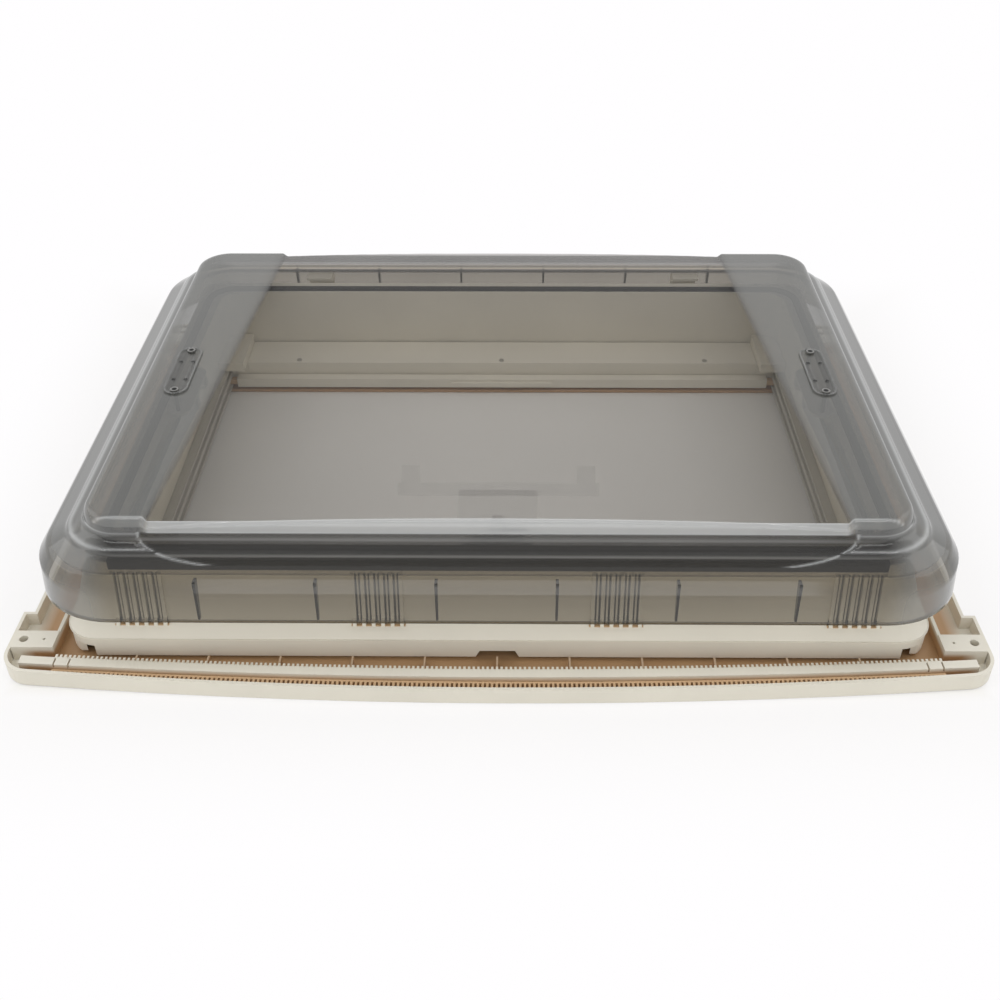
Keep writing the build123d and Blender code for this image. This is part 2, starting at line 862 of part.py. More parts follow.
head_y = hinge_y - stay_reach_y
head_z = hinge_z + stay_head_above_hinge
stay_length = math.hypot(stay_reach_y, stay_head_above_hinge)
foot_z = hinge_z + stay_foot_above_hinge
foot_y = hinge_y - math.sqrt(stay_length**2 - stay_foot_above_hinge**2)
knee_y = head_y + foot_y - hinge_y
knee_z = head_z + foot_z - hinge_z


def arm(x0, start, end):
    """A flat arm between two eyes, its inner face at x0."""
    dy, dz = end[0] - start[0], end[1] - start[1]
    length = math.hypot(dy, dz)
    middle = ((start[0] + end[0]) / 2, (start[1] + end[1]) / 2)
    along = Plane(origin=(x0, *middle), x_dir=(0, dy / length, dz / length), z_dir=(1, 0, 0))
    body = extrude(along * Rectangle(length, arm_width), arm_thickness)
    for y, z in (start, end):
        body += rod(x0, x0 + arm_thickness, y, z, arm_boss)
    for y, z in (start, end):
        body -= rod(x0 - cut_overrun, x0 + arm_thickness + cut_overrun, y, z,
                    stay_pin + stay_play)
    return body


def stay_parts():
    """The right-hand stay's pieces by name."""
    head, knee, foot = (head_y, head_z), (knee_y, knee_z), (foot_y, foot_z)
    parts = {}
    parts["stay_upper_arm"] = arm(upper_arm_in, knee, head)
    parts["stay_lower_arm"] = arm(lower_arm_in, foot, knee)
    cap = stay_pin_head_thickness
    pin = rod(upper_arm_in - seat, lower_arm_out + seat, *knee, stay_pin)
    pin += rod(upper_arm_in - seat - cap, upper_arm_in - seat, *knee, stay_pin_head)
    pin += rod(lower_arm_out + seat, lower_arm_out + seat + cap, *knee, stay_pin_head)
    parts["stay_knee_pin"] = pin + rod(upper_arm_out + seat, lower_arm_in - seat, *knee, stay_pin_head)
    plate_in = throat_x - seat - foot_plate
    plate = block(plate_in, throat_x - seat, foot_y - foot_plate_width / 2,
                  foot_y + foot_plate_width / 2, foot_z - foot_plate_height / 2,
                  foot_z + foot_plate_height / 2)
    parts["stay_foot"] = plate - rod(plate_in - cut_overrun, throat_x, *foot, stay_pin + stay_play)
    pin = rod(lower_arm_in - seat, throat_x - seat, *foot, stay_pin)
    pin += rod(lower_arm_in - seat - cap, lower_arm_in - seat, *foot, stay_pin_head)
    parts["stay_foot_pin"] = pin + rod(lower_arm_out + seat, plate_in - seat, *foot, stay_pin_head)

    ear_out = upper_arm_in - seat - cap
    ear_in = ear_out - arm_thickness
    base = Pos(oval_x, oval_place, pane_ceiling - seat - base_thickness) * extrude(
        Rot(0, 0, 90) * SlotOverall(oval_length, oval_width), base_thickness)
    side = Plane(origin=(ear_in, 0, 0), x_dir=(0, 1, 0), z_dir=(1, 0, 0))
    ear_top = pane_ceiling - seat - base_thickness / 2
    outline = Polyline([
        (oval_place - ear_foot_front, ear_top),
        (oval_place + ear_foot_rear, ear_top),
        (head_y + arm_boss, head_z),
        (head_y - arm_boss, head_z),
    ], close=True)
    ear = extrude(side * make_face(outline), arm_thickness)
    ear += rod(ear_in, ear_out, *head, arm_boss)
    body = base + ear
    for end in (-1, 1):
        y = oval_place + end * screw_spread / 2
        body -= post(oval_x, y, ear_top - 2 * base_thickness, pane_ceiling,
                     screw_radius + drill_play)
    parts["stay_head"] = body - rod(ear_in - cut_overrun, ear_out + cut_overrun, *head,
                                    stay_pin + stay_play)
    pin = rod(ear_in - seat, upper_arm_out + seat, *head, stay_pin)
    pin += rod(ear_in - seat - cap, ear_in - seat, *head, stay_pin_head)
    pin += rod(ear_out + seat, upper_arm_in - seat, *head, stay_pin_head)
    parts["stay_head_pin"] = pin + rod(upper_arm_out + seat, upper_arm_out + seat + cap, *head,
                                       stay_pin_head)
    return parts


right_stay = stay_parts()
for name in ("stay_upper_arm", "stay_lower_arm", "stay_knee_pin", "stay_foot", "stay_head"):
    save(f"{name}_right", right_stay[name])
    save(f"{name}_left", mirror(right_stay[name], Plane.YZ))
for name in ("stay_foot_pin", "stay_head_pin"):
    save(f"{name}s", *both_sides(right_stay[name]))


def oval_cover():
    """Oval cover on the wing, with a raised rim and a screw at each end."""
    upright = Rot(0, 0, 90)
    body = Pos(oval_x, oval_place, wing_top) * extrude(
        upright * SlotOverall(oval_length, oval_width), oval_height)
    dish = Pos(oval_x, oval_place, wing_top + oval_height - oval_dish) * extrude(
        upright * SlotOverall(oval_length - 2 * oval_rim, oval_width - 2 * oval_rim), oval_dish)
    body -= dish
    for end in (-1, 1):
        y = oval_place + end * screw_spread / 2
        body -= post(oval_x, y, wing_top - cut_overrun, wing_top + oval_height,
                     screw_radius + screw_play)
    return body


def stay_screw(x, y):
    """Screw from the cover down through both skins into the stay's head."""
    seat_level = wing_top + oval_height - oval_dish
    base = pane_ceiling - seat - base_thickness
    return (post(x, y, base, seat_level, screw_radius)
            + post(x, y, seat_level, seat_level + screw_head_height, screw_head))


def pane_spacer(x, y):
    """Sleeve that keeps the two skins apart round a screw."""
    top = dome_base + plateau_rise - dome_wall - seat
    return (post(x, y, pane_top, top, spacer_radius)
            - post(x, y, pane_top - cut_overrun, top + cut_overrun, screw_radius + screw_play))


save("stay_covers", *both_sides(oval_cover()))
save("stay_screws", *[stay_screw(x, y) for x, y in screw_places()])
save("pane_spacers", *[pane_spacer(x, y) for x, y in screw_places()])


# Turn catch with a release button, its block on the dome and its keeper on the frame

catch_y = catch_from_throat - throat_y
block_base = pane_base - catch_block_drop
lip_top = upstand_top - keeper_lip_drop
lip_base = lip_top - keeper_lip_thickness
finger_top = lip_base - finger_gap
finger_base = finger_top - finger_thickness
grip_top = finger_base - catch_neck / 2
grip_base = grip_top - grip_height
shaft_top = pane_ceiling - 2 * seat


def catch_block():
    body = block(-catch_block_width / 2, catch_block_width / 2, catch_y - catch_block_length / 2,
                 catch_y + catch_block_length / 2, block_base, pane_ceiling - seat)
    return body - post(0, catch_y, block_base - cut_overrun, pane_ceiling,
                       catch_shaft + catch_play)


def turn_catch():
    """Shaft, locking finger and grip in one piece, bored from below for the button."""
    body = post(0, catch_y, grip_top, shaft_top, catch_shaft)
    body += block(0, finger_length, catch_y - finger_width / 2, catch_y + finger_width / 2,
                  finger_base, finger_top)
    body += post(0, catch_y, finger_base, finger_top, catch_shaft + finger_gap)
    grip = Pos(0, catch_y, grip_base) * extrude(SlotOverall(grip_length, grip_width), grip_height)
    body += grip
    bore_top = grip_base + button_skirt + button_travel + button_skirt + button_travel
    return body - post(0, catch_y, grip_base - cut_overrun, bore_top,
                       button_radius + button_play)


def release_button():
    return post(0, catch_y, grip_base - button_proud, grip_base + button_skirt, button_radius)


def button_spring():
    """Coil between the button and the top of its bore."""
    low = grip_base + button_skirt + spring_wire + seat
    high = grip_base + 2 * button_skirt + 2 * button_travel - spring_wire - seat
    height = high - low
    path = Pos(0, catch_y, low) * Helix(height / spring_turns, height, spring_radius)
    section = Plane(origin=path @ 0, z_dir=path % 0) * Circle(spring_wire)
    return sweep(section, path=path)


def latch_keeper():
    wall = seat - throat_y
    body = block(-keeper_width / 2, keeper_width / 2, wall, wall + keeper_thickness,
                 upstand_top - keeper_height, upstand_top)
    return body + block(-keeper_lip_width / 2, keeper_lip_width / 2, wall,
                        wall + keeper_lip_reach, lip_base, lip_top)


save("catch_block", catch_block())
save("turn_catch", turn_catch())
save("release_button", release_button())
save("button_spring", button_spring())
save("latch_keeper", latch_keeper())


def pull_handle():
    """Round grab bar on two feet under the pane."""
    y = catch_y + catch_block_length / 2 + handle_from_catch
    z = pane_ceiling - handle_drop
    body = rod(-handle_half - handle_overhang, handle_half + handle_overhang, y, z,
               handle_radius)
    for x in (-handle_half, handle_half):
        body += block(x - handle_foot, x + handle_foot, y - handle_radius, y + handle_radius,
                      z, pane_ceiling - seat)
    return body


save("pull_handle", pull_handle())


# Roller cassettes: blind at the rear on the lower track, insect screen at the front above it

roll_y = cassette_face + cassette_depth / 2 + bar_face_gap
roll_z = frame_base + cassette_height / 2
cassette_x = throat_x - seat - cap_width - seat


def cassette(slot_low):
    """Box with a slot for the sheet; slot_low is where the slot starts."""
    z0, z1 = frame_base, frame_base + cassette_height
    y0, y1 = cassette_face, cassette_face + cassette_depth
    wall = cassette_wall
    body = block(-cassette_x, cassette_x, y0, y1, z0, z1)
    body -= block(-cassette_x - cut_overrun, cassette_x + cut_overrun, y0 + wall, y1 - wall,
                  z0 + wall, z1 - wall)
    body -= block(-cassette_x - cut_overrun, cassette_x + cut_overrun, y0 - cut_overrun,
                  y0 + wall + cut_overrun, slot_low, slot_low + cassette_slot)
    for x in cassette_screw_places():
        body -= post(x, y0 + cassette_screw_inset, z1 - 2 * wall, z1 + cut_overrun,
                     cassette_screw_radius + screw_play)
    return body


def cassette_screw_places():
    spread = cassette_x - cassette_screw_from_end
    return (-spread, 0, spread)


def end_cap():
    """Right-hand end of a cassette, with a hood that reaches over the rail."""
    x0 = throat_x - seat - cap_width
    x1 = throat_x - seat
    top = frame_base + cassette_height + seat
    body = block(x0, x1, cassette_face, cassette_face + cassette_depth, frame_base, top)
    body += block(x0, x1, cassette_face - cap_hood_reach, cassette_face + cassette_depth,
                  top, top + cap_hood_height)
    return body & slab(throat_x - seat, throat_y - seat, throat_corner - seat,
                       frame_base, top + cap_hood_height)


def axle():
    """Right-hand stub axle that carries the roller."""
    x1 = throat_x - seat - cap_width
    flange_start = x1 - axle_flange_thickness
    return (rod(x1 - axle_reach, x1, roll_y, roll_z, axle_radius)
            + rod(flange_start, x1, roll_y, roll_z, axle_flange))


def roller_tube():
    half = throat_x - seat - cap_width - tube_end_gap
    body = rod(-half, half, roll_y, roll_z, tube_radius)
    body -= rod(tube_plug - half, half - tube_plug, roll_y, roll_z, tube_bore)
    return body - rod(-half - cut_overrun, half + cut_overrun, roll_y, roll_z,
                      axle_radius + tube_play)


def sheet_roll():
    """Cloth wound on the tube."""
    half = cassette_x - sheet_side_gap
    return (rod(-half, half, roll_y, roll_z, roll_radius)
            - rod(-half - cut_overrun, half + cut_overrun, roll_y, roll_z,
                  tube_radius + tube_play))


def pull_bar(lift):
    """Bar that draws the sheet, with a lip to pull it by."""
    y1 = cassette_face - bar_face_gap
    y0 = y1 - bar_depth
    half = throat_x - seat - rail_depth - bar_end_gap
    z0 = frame_base + lift
    body = block(-half, half, y0, y1, z0, z0 + bar_height)
    lip_z = z0 + (bar_height - pull_lip_height) / 2
    return body + block(-pull_lip_length / 2, pull_lip_length / 2, y0 - pull_lip_depth, y0,
                        lip_z, lip_z + pull_lip_height)


def bar_shoe(lift):
    """Right-hand shoe that runs in the rail's groove."""
    y_mid = cassette_face - bar_face_gap - bar_depth / 2
    inner = throat_x - seat - rail_depth - bar_end_gap
    z_mid = frame_base + lift + bar_height / 2
    half = rail_groove / 2 - shoe_play
    return block(inner, throat_x - seat - rail_depth + shoe_in_rail, y_mid - shoe_length / 2,
                 y_mid + shoe_length / 2, z_mid - half, z_mid + half)


def side_rail():
    """Right-hand rail with a groove for each bar's shoe."""
    x0 = throat_x - seat - rail_depth
    reach = cassette_face - seat
    base = frame_base + rail_lift
    body = block(x0, throat_x - seat, -reach, reach, base, base + rail_height)
    for lift in (lower_bar_lift, upper_bar_lift):
        z_mid = frame_base + lift + bar_height / 2
        body -= block(x0 - cut_overrun, x0 + rail_groove_depth, -reach - cut_overrun,
                      reach + cut_overrun, z_mid - rail_groove / 2, z_mid + rail_groove / 2)
    return body


def sheet(z0):
    """Drawn-in end of the cloth, between the roll and the bar."""
    half = cassette_x - sheet_side_gap
    return block(-half, half, cassette_face - bar_face_gap + seat, roll_y,
                 z0, z0 + sheet_thickness)


def cassette_screws():
    z1 = frame_base + cassette_height
    pieces = []
    for x in cassette_screw_places():
        for side in (-1, 1):
            y = side * (cassette_face + cassette_screw_inset)
            pieces.append(post(x, y, z1 - cassette_screw_length, z1, cassette_screw_radius)
                          + post(x, y, z1, z1 + cassette_screw_head_height,
                                 cassette_screw_head))
    return pieces


def to_front(solids):
    """The same pieces at the front of the throat."""
    return [mirror(solid, Plane.XZ) for solid in solids]


roll_bottom = roll_z - roll_radius
roll_top = roll_z + roll_radius
low_sheet = roll_bottom - seat - sheet_thickness
high_sheet = roll_top + seat
low_slot = low_sheet + sheet_thickness / 2 - cassette_slot / 2
high_slot = high_sheet + sheet_thickness / 2 - cassette_slot / 2

save("blind_cassette", cassette(low_slot))
save("blind_end_caps", *both_sides(end_cap()))
save("blind_axles", *both_sides(axle()))
save("blind_tube", roller_tube())
save("blind_roll", sheet_roll())
save("blind_pull_bar", pull_bar(lower_bar_lift))
save("blind_bar_shoes", *both_sides(bar_shoe(lower_bar_lift)))
save("blind_sheet", sheet(low_sheet))
save("screen_cassette", *to_front([cassette(high_slot)]))
save("screen_end_caps", *to_front(both_sides(end_cap())))
save("screen_axles", *to_front(both_sides(axle())))
save("screen_tube", *to_front([roller_tube()]))
save("screen_roll", *to_front([sheet_roll()]))
save("screen_pull_bar", *to_front([pull_bar(upper_bar_lift)]))
save("screen_bar_shoes", *to_front(both_sides(bar_shoe(upper_bar_lift))))
save("screen_sheet", *to_front([sheet(high_sheet)]))
save("cassette_screws", *cassette_screws())
save("side_rail_right", side_rail())
save("side_rail_left", mirror(side_rail(), Plane.YZ))
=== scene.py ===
"""Dresses the caravan roof vent over its fixed frame: skins, seals, cloths, finishes and stage."""
import json
import math

import bpy
import numpy as np
from bpy.props import FloatProperty, FloatVectorProperty, IntProperty, PointerProperty
from mathutils import Matrix, Vector
from mathutils.geometry import tessellate_polygon


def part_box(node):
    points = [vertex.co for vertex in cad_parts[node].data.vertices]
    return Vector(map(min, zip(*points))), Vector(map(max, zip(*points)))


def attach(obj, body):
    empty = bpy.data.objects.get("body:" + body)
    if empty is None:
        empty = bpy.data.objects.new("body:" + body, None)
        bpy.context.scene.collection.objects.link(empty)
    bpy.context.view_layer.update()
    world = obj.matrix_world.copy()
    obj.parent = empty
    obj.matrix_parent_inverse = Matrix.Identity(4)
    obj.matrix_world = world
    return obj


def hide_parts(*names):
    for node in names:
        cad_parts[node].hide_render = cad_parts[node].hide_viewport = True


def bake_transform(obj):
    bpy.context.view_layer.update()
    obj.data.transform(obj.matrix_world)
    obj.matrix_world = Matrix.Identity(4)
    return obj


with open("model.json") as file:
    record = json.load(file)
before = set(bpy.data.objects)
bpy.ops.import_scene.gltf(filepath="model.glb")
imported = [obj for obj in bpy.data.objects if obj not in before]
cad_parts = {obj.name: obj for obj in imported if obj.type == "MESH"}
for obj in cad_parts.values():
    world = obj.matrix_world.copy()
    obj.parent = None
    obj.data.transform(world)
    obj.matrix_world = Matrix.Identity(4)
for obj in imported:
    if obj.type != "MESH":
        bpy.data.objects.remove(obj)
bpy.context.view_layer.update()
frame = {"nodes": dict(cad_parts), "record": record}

bl_info = {
    "name": "Caravan Roof Vent",
    "version": (1, 0, 0),
    "blender": (4, 5, 0),
    "location": "3D View > Sidebar > Roof Vent",
    "description": "Smoked skins, seals, cloths and finishes of a caravan roof vent",
    "category": "Object",
}

MM = 0.001

# Front and rear edges of the dome's top, the top's rise over the hem, and the hem's corner
TOP_FRONT, TOP_REAR = -254 * MM, 302 * MM
TOP_RISE = 77 * MM
HEM_CORNER = 74 * MM
# Density of the smoke in the flat middle of each skin
OUTER_FLAT, INNER_FLAT = 0.22, 0.2
# Half the ceiling trim's length and width, and how far its long sides bow in
TRIM_HALF_X, TRIM_HALF_Y, TRIM_BOW = 430 * MM, 330 * MM, 21.5 * MM
# Teeth below the vent slots: half the run of their groups, their pitch and number in a group
RACK_REACH, TOOTH_PITCH, TEETH = 350 * MM, 8.2 * MM, 6
# Front wall of the upstand, where the teeth stand, and the ledge below them over the frame's foot
UPSTAND_FRONT, LEDGE = -272 * MM, 34.7 * MM
# From the middle to the throat's outer wall, and from there to the foam
THROAT_HALF, FOAM_GAP = 252.7 * MM, 13 * MM
# Radius of a roller's tube
TUBE_RADIUS = 7.6 * MM
# White of the surroundings
PALE = "FFFEFF"


def linear(code):
    """An sRGB hex colour as linear red, green and blue."""
    parts = [int(code[i:i + 2], 16) / 255 for i in (0, 2, 4)]
    return tuple(p / 12.92 if p <= 0.04045 else ((p + 0.055) / 1.055) ** 2.4 for p in parts)


def length(name, description, default):
    """A size in millimetres, kept in metres."""
    return FloatProperty(name=name, description=description, default=default * MM,
                         min=0.0, unit="LENGTH", subtype="DISTANCE")


def colour(name, description, code):
    """A colour written as sRGB hex."""
    return FloatVectorProperty(name=name, description=description, default=linear(code),
                               min=0.0, max=1.0, size=3, subtype="COLOR")


# Sizes and colours

class DomeSizes(bpy.types.PropertyGroup):
    """Forms of the two smoked skins."""
    wing_front: length("Wing edge, front", "From the middle to a wing's inner edge at the front", 293)
    wing_rear: length("Wing edge, rear", "From the middle to a wing's inner edge at the rear", 251)
    wing_soft: length("Wing edge softness", "Half the width of the wing's inner slope", 3.4)
    recess_drop: length("Middle panel drop", "From the wing down to the middle panel's edge", 8.4)
    recess_crown: length("Middle panel crown", "Rise of the middle panel between its edges", 7.4)
    apron_head: length("Apron head", "How far the apron starts below the wings", 4.5)
    apron_half: length("Apron half width", "From the middle to an end of the front apron", 301)
    apron_reach: length("Apron reach", "How far the front apron comes forward", 36)
    apron_power: FloatProperty(name="Apron fullness", default=3.3, min=2.0, max=6.0,
                               description="How square the ends of the apron's outline are")
    apron_foot: length("Apron foot", "Height of the apron's foot over the skirt's edge", 41)
    rib_spacing: length("Rib spacing", "Pitch of the ribs inside the skirt", 100)
    rib_thickness: length("Rib thickness", "Thickness of a rib at its foot", 2)


class ClothSizes(bpy.types.PropertyGroup):
    """Sizes of the blind's cloth and of the insect mesh."""
    blind_thickness: length("Blind cloth", "Thickness of the coated blackout cloth", 0.32)
    screen_thickness: length("Mesh", "Thickness of the woven mesh", 0.3)
    blind_turns: IntProperty(name="Blind turns", description="Turns of cloth on the blind's tube",
                             default=7, min=2, max=20)
    screen_turns: IntProperty(name="Mesh turns", description="Turns of mesh on the screen's tube",
                              default=7, min=2, max=20)


class VentColours(bpy.types.PropertyGroup):
    """Colours of the finishes."""
    cream: colour("Cream ABS", "Frame, trim, cassettes and rails", "EDE8DA")
    # Tan finish of the air combs; on the pad behind the vent teeth it is painted shade
    tan: colour("Tan ABS", "Air combs", "D0B08A")
    # Painted shade: the darker, warmer tone laid in the trim's hollows
    pocket_shade: colour("Trim's inside", "Plastic in the trim's hollows", "BC976F")
    smoke: colour("Smoke", "Body colour of the smoked acrylic", "2B2A27")
    haze: colour("Haze", "Smoked acrylic where its drawn surface is dulled", "666764")
    # Painted highlight colour along the acrylic's edges and bends
    glint: colour("Edge glint", "Tight bends of the acrylic, which pipe light", "D4D6D6")
    # On the side rails this grey, darker than the cream beside them, is painted shade along the
    # throat's sides
    grey: colour("Grey nylon", "Side rails and stay heads", "C6C3BA")
    rubber: colour("Rubber", "Seals and the front vent strip", "1C1D1C")
    foam: colour("Foam", "Gasket under the frame's flange", "4B4C4A")
    blind: colour("Blind cloth", "Coated side of the blackout cloth", "DCDCDA")
    mesh: colour("Insect mesh", "Strands of the insect mesh", "3A3B3A")
    red: colour("Red button", "Release button of the catch", "B3261C")


# Nodes and materials

def add(tree, kind, values=None, links=None, stops=(), **settings):
    """Adds a shader node with its settings, its sockets' values, its links and a ramp's stops.
    A link comes from an output, or from a node, which then stands for its first output."""
    node = tree.nodes.new("ShaderNode" + kind)
    for name, value in settings.items():
        setattr(node, name, value)
    for socket, value in (values or {}).items():
        node.inputs[socket].default_value = value
    for socket, source in (links or {}).items():
        tree.links.new(getattr(source, "outputs", [source])[0], node.inputs[socket])
    if stops:
        ramp = node.color_ramp
        while len(ramp.elements) < len(stops):
            ramp.elements.new(1.0)
        for element, (place, shade) in zip(ramp.elements, stops):
            element.position = place
            element.color = (*shade, 1.0)
    return node


def new_material(name, surface, *details):
    """A material whose shader comes from a function of its nodes and the object's coordinates."""
    material = bpy.data.materials.new(name)
    material.use_nodes = True
    tree = material.node_tree
    tree.nodes.clear()
    where = add(tree, "TexCoord").outputs["Object"]
    add(tree, "OutputMaterial", links={"Surface": surface(tree, where, *details)})
    return material


def shade_of(tone, factor):
    """A colour made lighter or darker, kept in range."""
    return tuple(min(1.0, max(0.0, c * factor)) for c in tone)


def moulded_abs(tree, where, tone, pocket_shade=None):
    """ABS moulded in a spark-eroded tool: satin, with a fine grain that breaks up the light.
    A tray has painted shade in its hollows: a darker, warmer tone that stands in for light bounced
    between its walls."""
    cloud = add(tree, "TexNoise", {"Scale": 9.0, "Detail": 3.0}, {"Vector": where})
    body = add(tree, "ValToRGB", links={"Fac": cloud},
               stops=[(0.3, shade_of(tone, 0.955)), (0.7, shade_of(tone, 1.03))])
    # Painted shade in the hollows
    if pocket_shade is not None:
        body = add(tree, "Mix", {7: (*pocket_shade, 1.0)}, {0: warm_shade_mask(tree, where), 6: body},
                   data_type="RGBA").outputs[2]
    # Grain of the tool is 0.3 mm in life and is drawn at 1 mm, the finest that shows
    grain = add(tree, "TexNoise", {"Scale": 1000.0, "Detail": 2.0}, {"Vector": where})
    satin = add(tree, "MapRange", {"To Min": 0.36, "To Max": 0.52}, {"Value": grain})
    bump = add(tree, "Bump", {"Strength": 0.12, "Distance": 0.0002}, {"Height": grain})
    return add(tree, "BsdfPrincipled", {"IOR": 1.53},
               {"Base Color": body, "Roughness": satin, "Normal": bump})


def warm_shade_mask(tree, where):
    """Mask of the painted shade in the ceiling trim's hollows: below its edge and inside its bowed
    walls.
    """
    axes = add(tree, "SeparateXYZ", links={"Vector": where}).outputs
    squared = add(tree, "Math", links={0: axes["X"], 1: axes["X"]}, operation="MULTIPLY")
    bow = add(tree, "Math", {1: TRIM_BOW / TRIM_HALF_X**2}, {0: squared}, operation="MULTIPLY")
    along = add(tree, "Math", links={0: axes["X"]}, operation="ABSOLUTE")
    across = add(tree, "Math", links={0: axes["Y"]}, operation="ABSOLUTE")
    reach = add(tree, "Math", links={0: across, 1: bow}, operation="ADD")
    mask = add(tree, "MapRange", {"From Min": 15.6 * MM, "From Max": 10 * MM},
               {"Value": axes["Z"]}, interpolation_type="SMOOTHSTEP")
    for place, wall, inside in ((reach, 328.6, 326), (along, 418.5, 405)):
        share = add(tree, "MapRange", {"From Min": wall * MM, "From Max": inside * MM},
                    {"Value": place})
        mask = add(tree, "Math", links={0: mask, 1: share}, operation="MULTIPLY")
    return mask


def smoked_acrylic(tree, where, gloss):
    """Cast acrylic sheet in smoke grey, thermoformed: clear and glossy on the flats, denser where it
    is steep, dulled on the wings and sides. Its dark lines along steps and folds are painted shade,
    its light lines along the tightest bends are painted highlights, and the warm tint through the
    skirt is painted warm shade.
    The smoke, haze, glint and warm attributes say where."""
    tones = bpy.context.scene.vent_colours
    density, dulled, bend, painted_shade_share = (add(tree, "Attribute", attribute_name=name).outputs["Fac"]
                                   for name in ("smoke", "haze", "glint", "warm"))
    # Sheet thins unevenly as it is drawn over the tool: clouds about 120 mm wide
    cloud = add(tree, "TexNoise", {"Scale": 8.0, "Detail": 1.0}, {"Vector": where})
    uneven = add(tree, "MapRange", {"To Min": 0.95, "To Max": 1.05}, {"Value": cloud})
    thick = add(tree, "Math", links={0: density, 1: uneven}, operation="MULTIPLY")
    # A slanting look passes more of the sheet
    facing = add(tree, "LayerWeight", {"Blend": 0.35}).outputs["Facing"]
    slant = add(tree, "MapRange", {"From Min": 0.35, "To Max": 0.5}, {"Value": facing})
    share = add(tree, "Math", links={0: thick, 1: slant}, operation="ADD", use_clamp=True)
    body = add(tree, "Mix", {6: (*tones.smoke, 1.0), 7: (*tones.haze, 1.0)}, {0: dulled},
               data_type="RGBA").outputs[2]
    # Painted highlights: a light grey mixed in along edges and bends
    body = add(tree, "Mix", {7: (*tones.glint, 1.0)}, {0: bend, 6: body},
               data_type="RGBA").outputs[2]
    # What is seen through the skirt is tinted warm: painted warm shade, for the warmer light under
    # the dome
    tint = add(tree, "Mix", {6: (*linear("FFFEFD"), 1.0), 7: (*linear("FFF7E7"), 1.0)},
               {0: painted_shade_share}, data_type="RGBA").outputs[2]
    clear = add(tree, "BsdfTransparent", links={"Color": tint})
    # Polishing haze, only just there: swirls of 17 mm, broken up down to 1 mm
    swirl = add(tree, "TexNoise", {"Scale": 60.0, "Detail": 4.0}, {"Vector": where})
    polish = add(tree, "MapRange", {"To Min": 0.03, "To Max": 0.1}, {"Value": swirl})
    shader = add(tree, "BsdfPrincipled", {"IOR": 1.49, "Specular IOR Level": gloss},
                 {"Base Color": body, "Roughness": polish})
    return add(tree, "MixShader", links={0: share, 1: clear, 2: shader})


def tinted_moulding(tree, where):
    """Acrylic injection moulded in thick pieces, with a trace of smoke: clear and glossy."""
    # Flow marks about 25 mm long
    flow = add(tree, "TexNoise", {"Scale": 40.0, "Detail": 2.0}, {"Vector": where})
    share = add(tree, "MapRange", {"To Min": 0.02, "To Max": 0.04}, {"Value": flow})
    smoke = (*bpy.context.scene.vent_colours.smoke, 1.0)
    shader = add(tree, "BsdfPrincipled", {"Base Color": smoke, "IOR": 1.49, "Roughness": 0.06})
    return add(tree, "MixShader",
               links={0: share, 1: add(tree, "BsdfTransparent"), 2: shader})


def socket_steel(tree, where, centre, spread_y, socket):
    """Stainless steel screws, one at each end of both ovals; the socket in each head is painted dark
    as the shade in it, not cut.
    """
    axes = add(tree, "SeparateXYZ", links={"Vector": where}).outputs
    side = add(tree, "Math", links={0: axes["X"]}, operation="ABSOLUTE")
    off_x = add(tree, "Math", {1: centre[0]}, {0: side}, operation="SUBTRACT")
    moved = add(tree, "Math", {1: centre[1]}, {0: axes["Y"]}, operation="SUBTRACT")
    folded = add(tree, "Math", links={0: moved}, operation="ABSOLUTE")
    off_y = add(tree, "Math", {1: spread_y}, {0: folded}, operation="SUBTRACT")
    flat = add(tree, "CombineXYZ", links={0: off_x, 1: off_y})
    radius = add(tree, "VectorMath", links={0: flat}, operation="LENGTH").outputs["Value"]
    # Painted shade: the head goes dark inside the socket's circle
    socket_shade = add(tree, "MapRange", {"From Min": socket * 1.12, "From Max": socket},
                 {"Value": radius})
    body = add(tree, "Mix", {6: (*linear("8F8F8C"), 1.0), 7: (*linear("1E1E1D"), 1.0)},
               {0: socket_shade}, data_type="RGBA").outputs[2]
    # Turning marks are 0.1 mm wide in life and are drawn at 0.7 mm, the finest that shows
    turning = add(tree, "TexNoise", {"Scale": 1500.0}, {"Vector": where})
    worn = add(tree, "MapRange", {"To Min": 0.25, "To Max": 0.45}, {"Value": turning})
    return add(tree, "BsdfPrincipled", {"Metallic": 1.0}, {"Base Color": body, "Roughness": worn})


def extruded_rubber(tree, where, tone):
    """Extruded EPDM: matt black with a fine leathery skin and a little dust."""
    # Dust lies in patches about 22 mm wide
    dust = add(tree, "TexNoise", {"Scale": 45.0, "Detail": 6.0}, {"Vector": where})
    body = add(tree, "ValToRGB", links={"Fac": dust},
               stops=[(0.45, tone), (0.8, shade_of(tone, 1.7))])
    rough = add(tree, "MapRange", {"To Min": 0.5, "To Max": 0.75}, {"Value": dust})
    # The skin's texture is 0.5 mm across
    skin = add(tree, "TexNoise", {"Scale": 2000.0, "Detail": 1.0}, {"Vector": where})
    bump = add(tree, "Bump", {"Strength": 0.1, "Distance": 0.0001}, {"Height": skin})
    return add(tree, "BsdfPrincipled", {"IOR": 1.5},
               {"Base Color": body, "Roughness": rough, "Normal": bump})


def cellular_foam(tree, where, tone):
    """Closed-cell foam strip cut from a block: dull, pitted with 1.5 mm cells."""
    cells = add(tree, "TexVoronoi", {"Scale": 660.0}, {"Vector": where})
    # Painted shade: each cell is darker in its pit
    body = add(tree, "ValToRGB", links={"Fac": cells},
               stops=[(0.1, shade_of(tone, 0.6)), (0.6, shade_of(tone, 1.3))])
    bump = add(tree, "Bump", {"Strength": 0.6, "Distance": 0.0006}, {"Height": cells})
    return add(tree, "BsdfPrincipled", {"Roughness": 0.92}, {"Base Color": body, "Normal": bump})


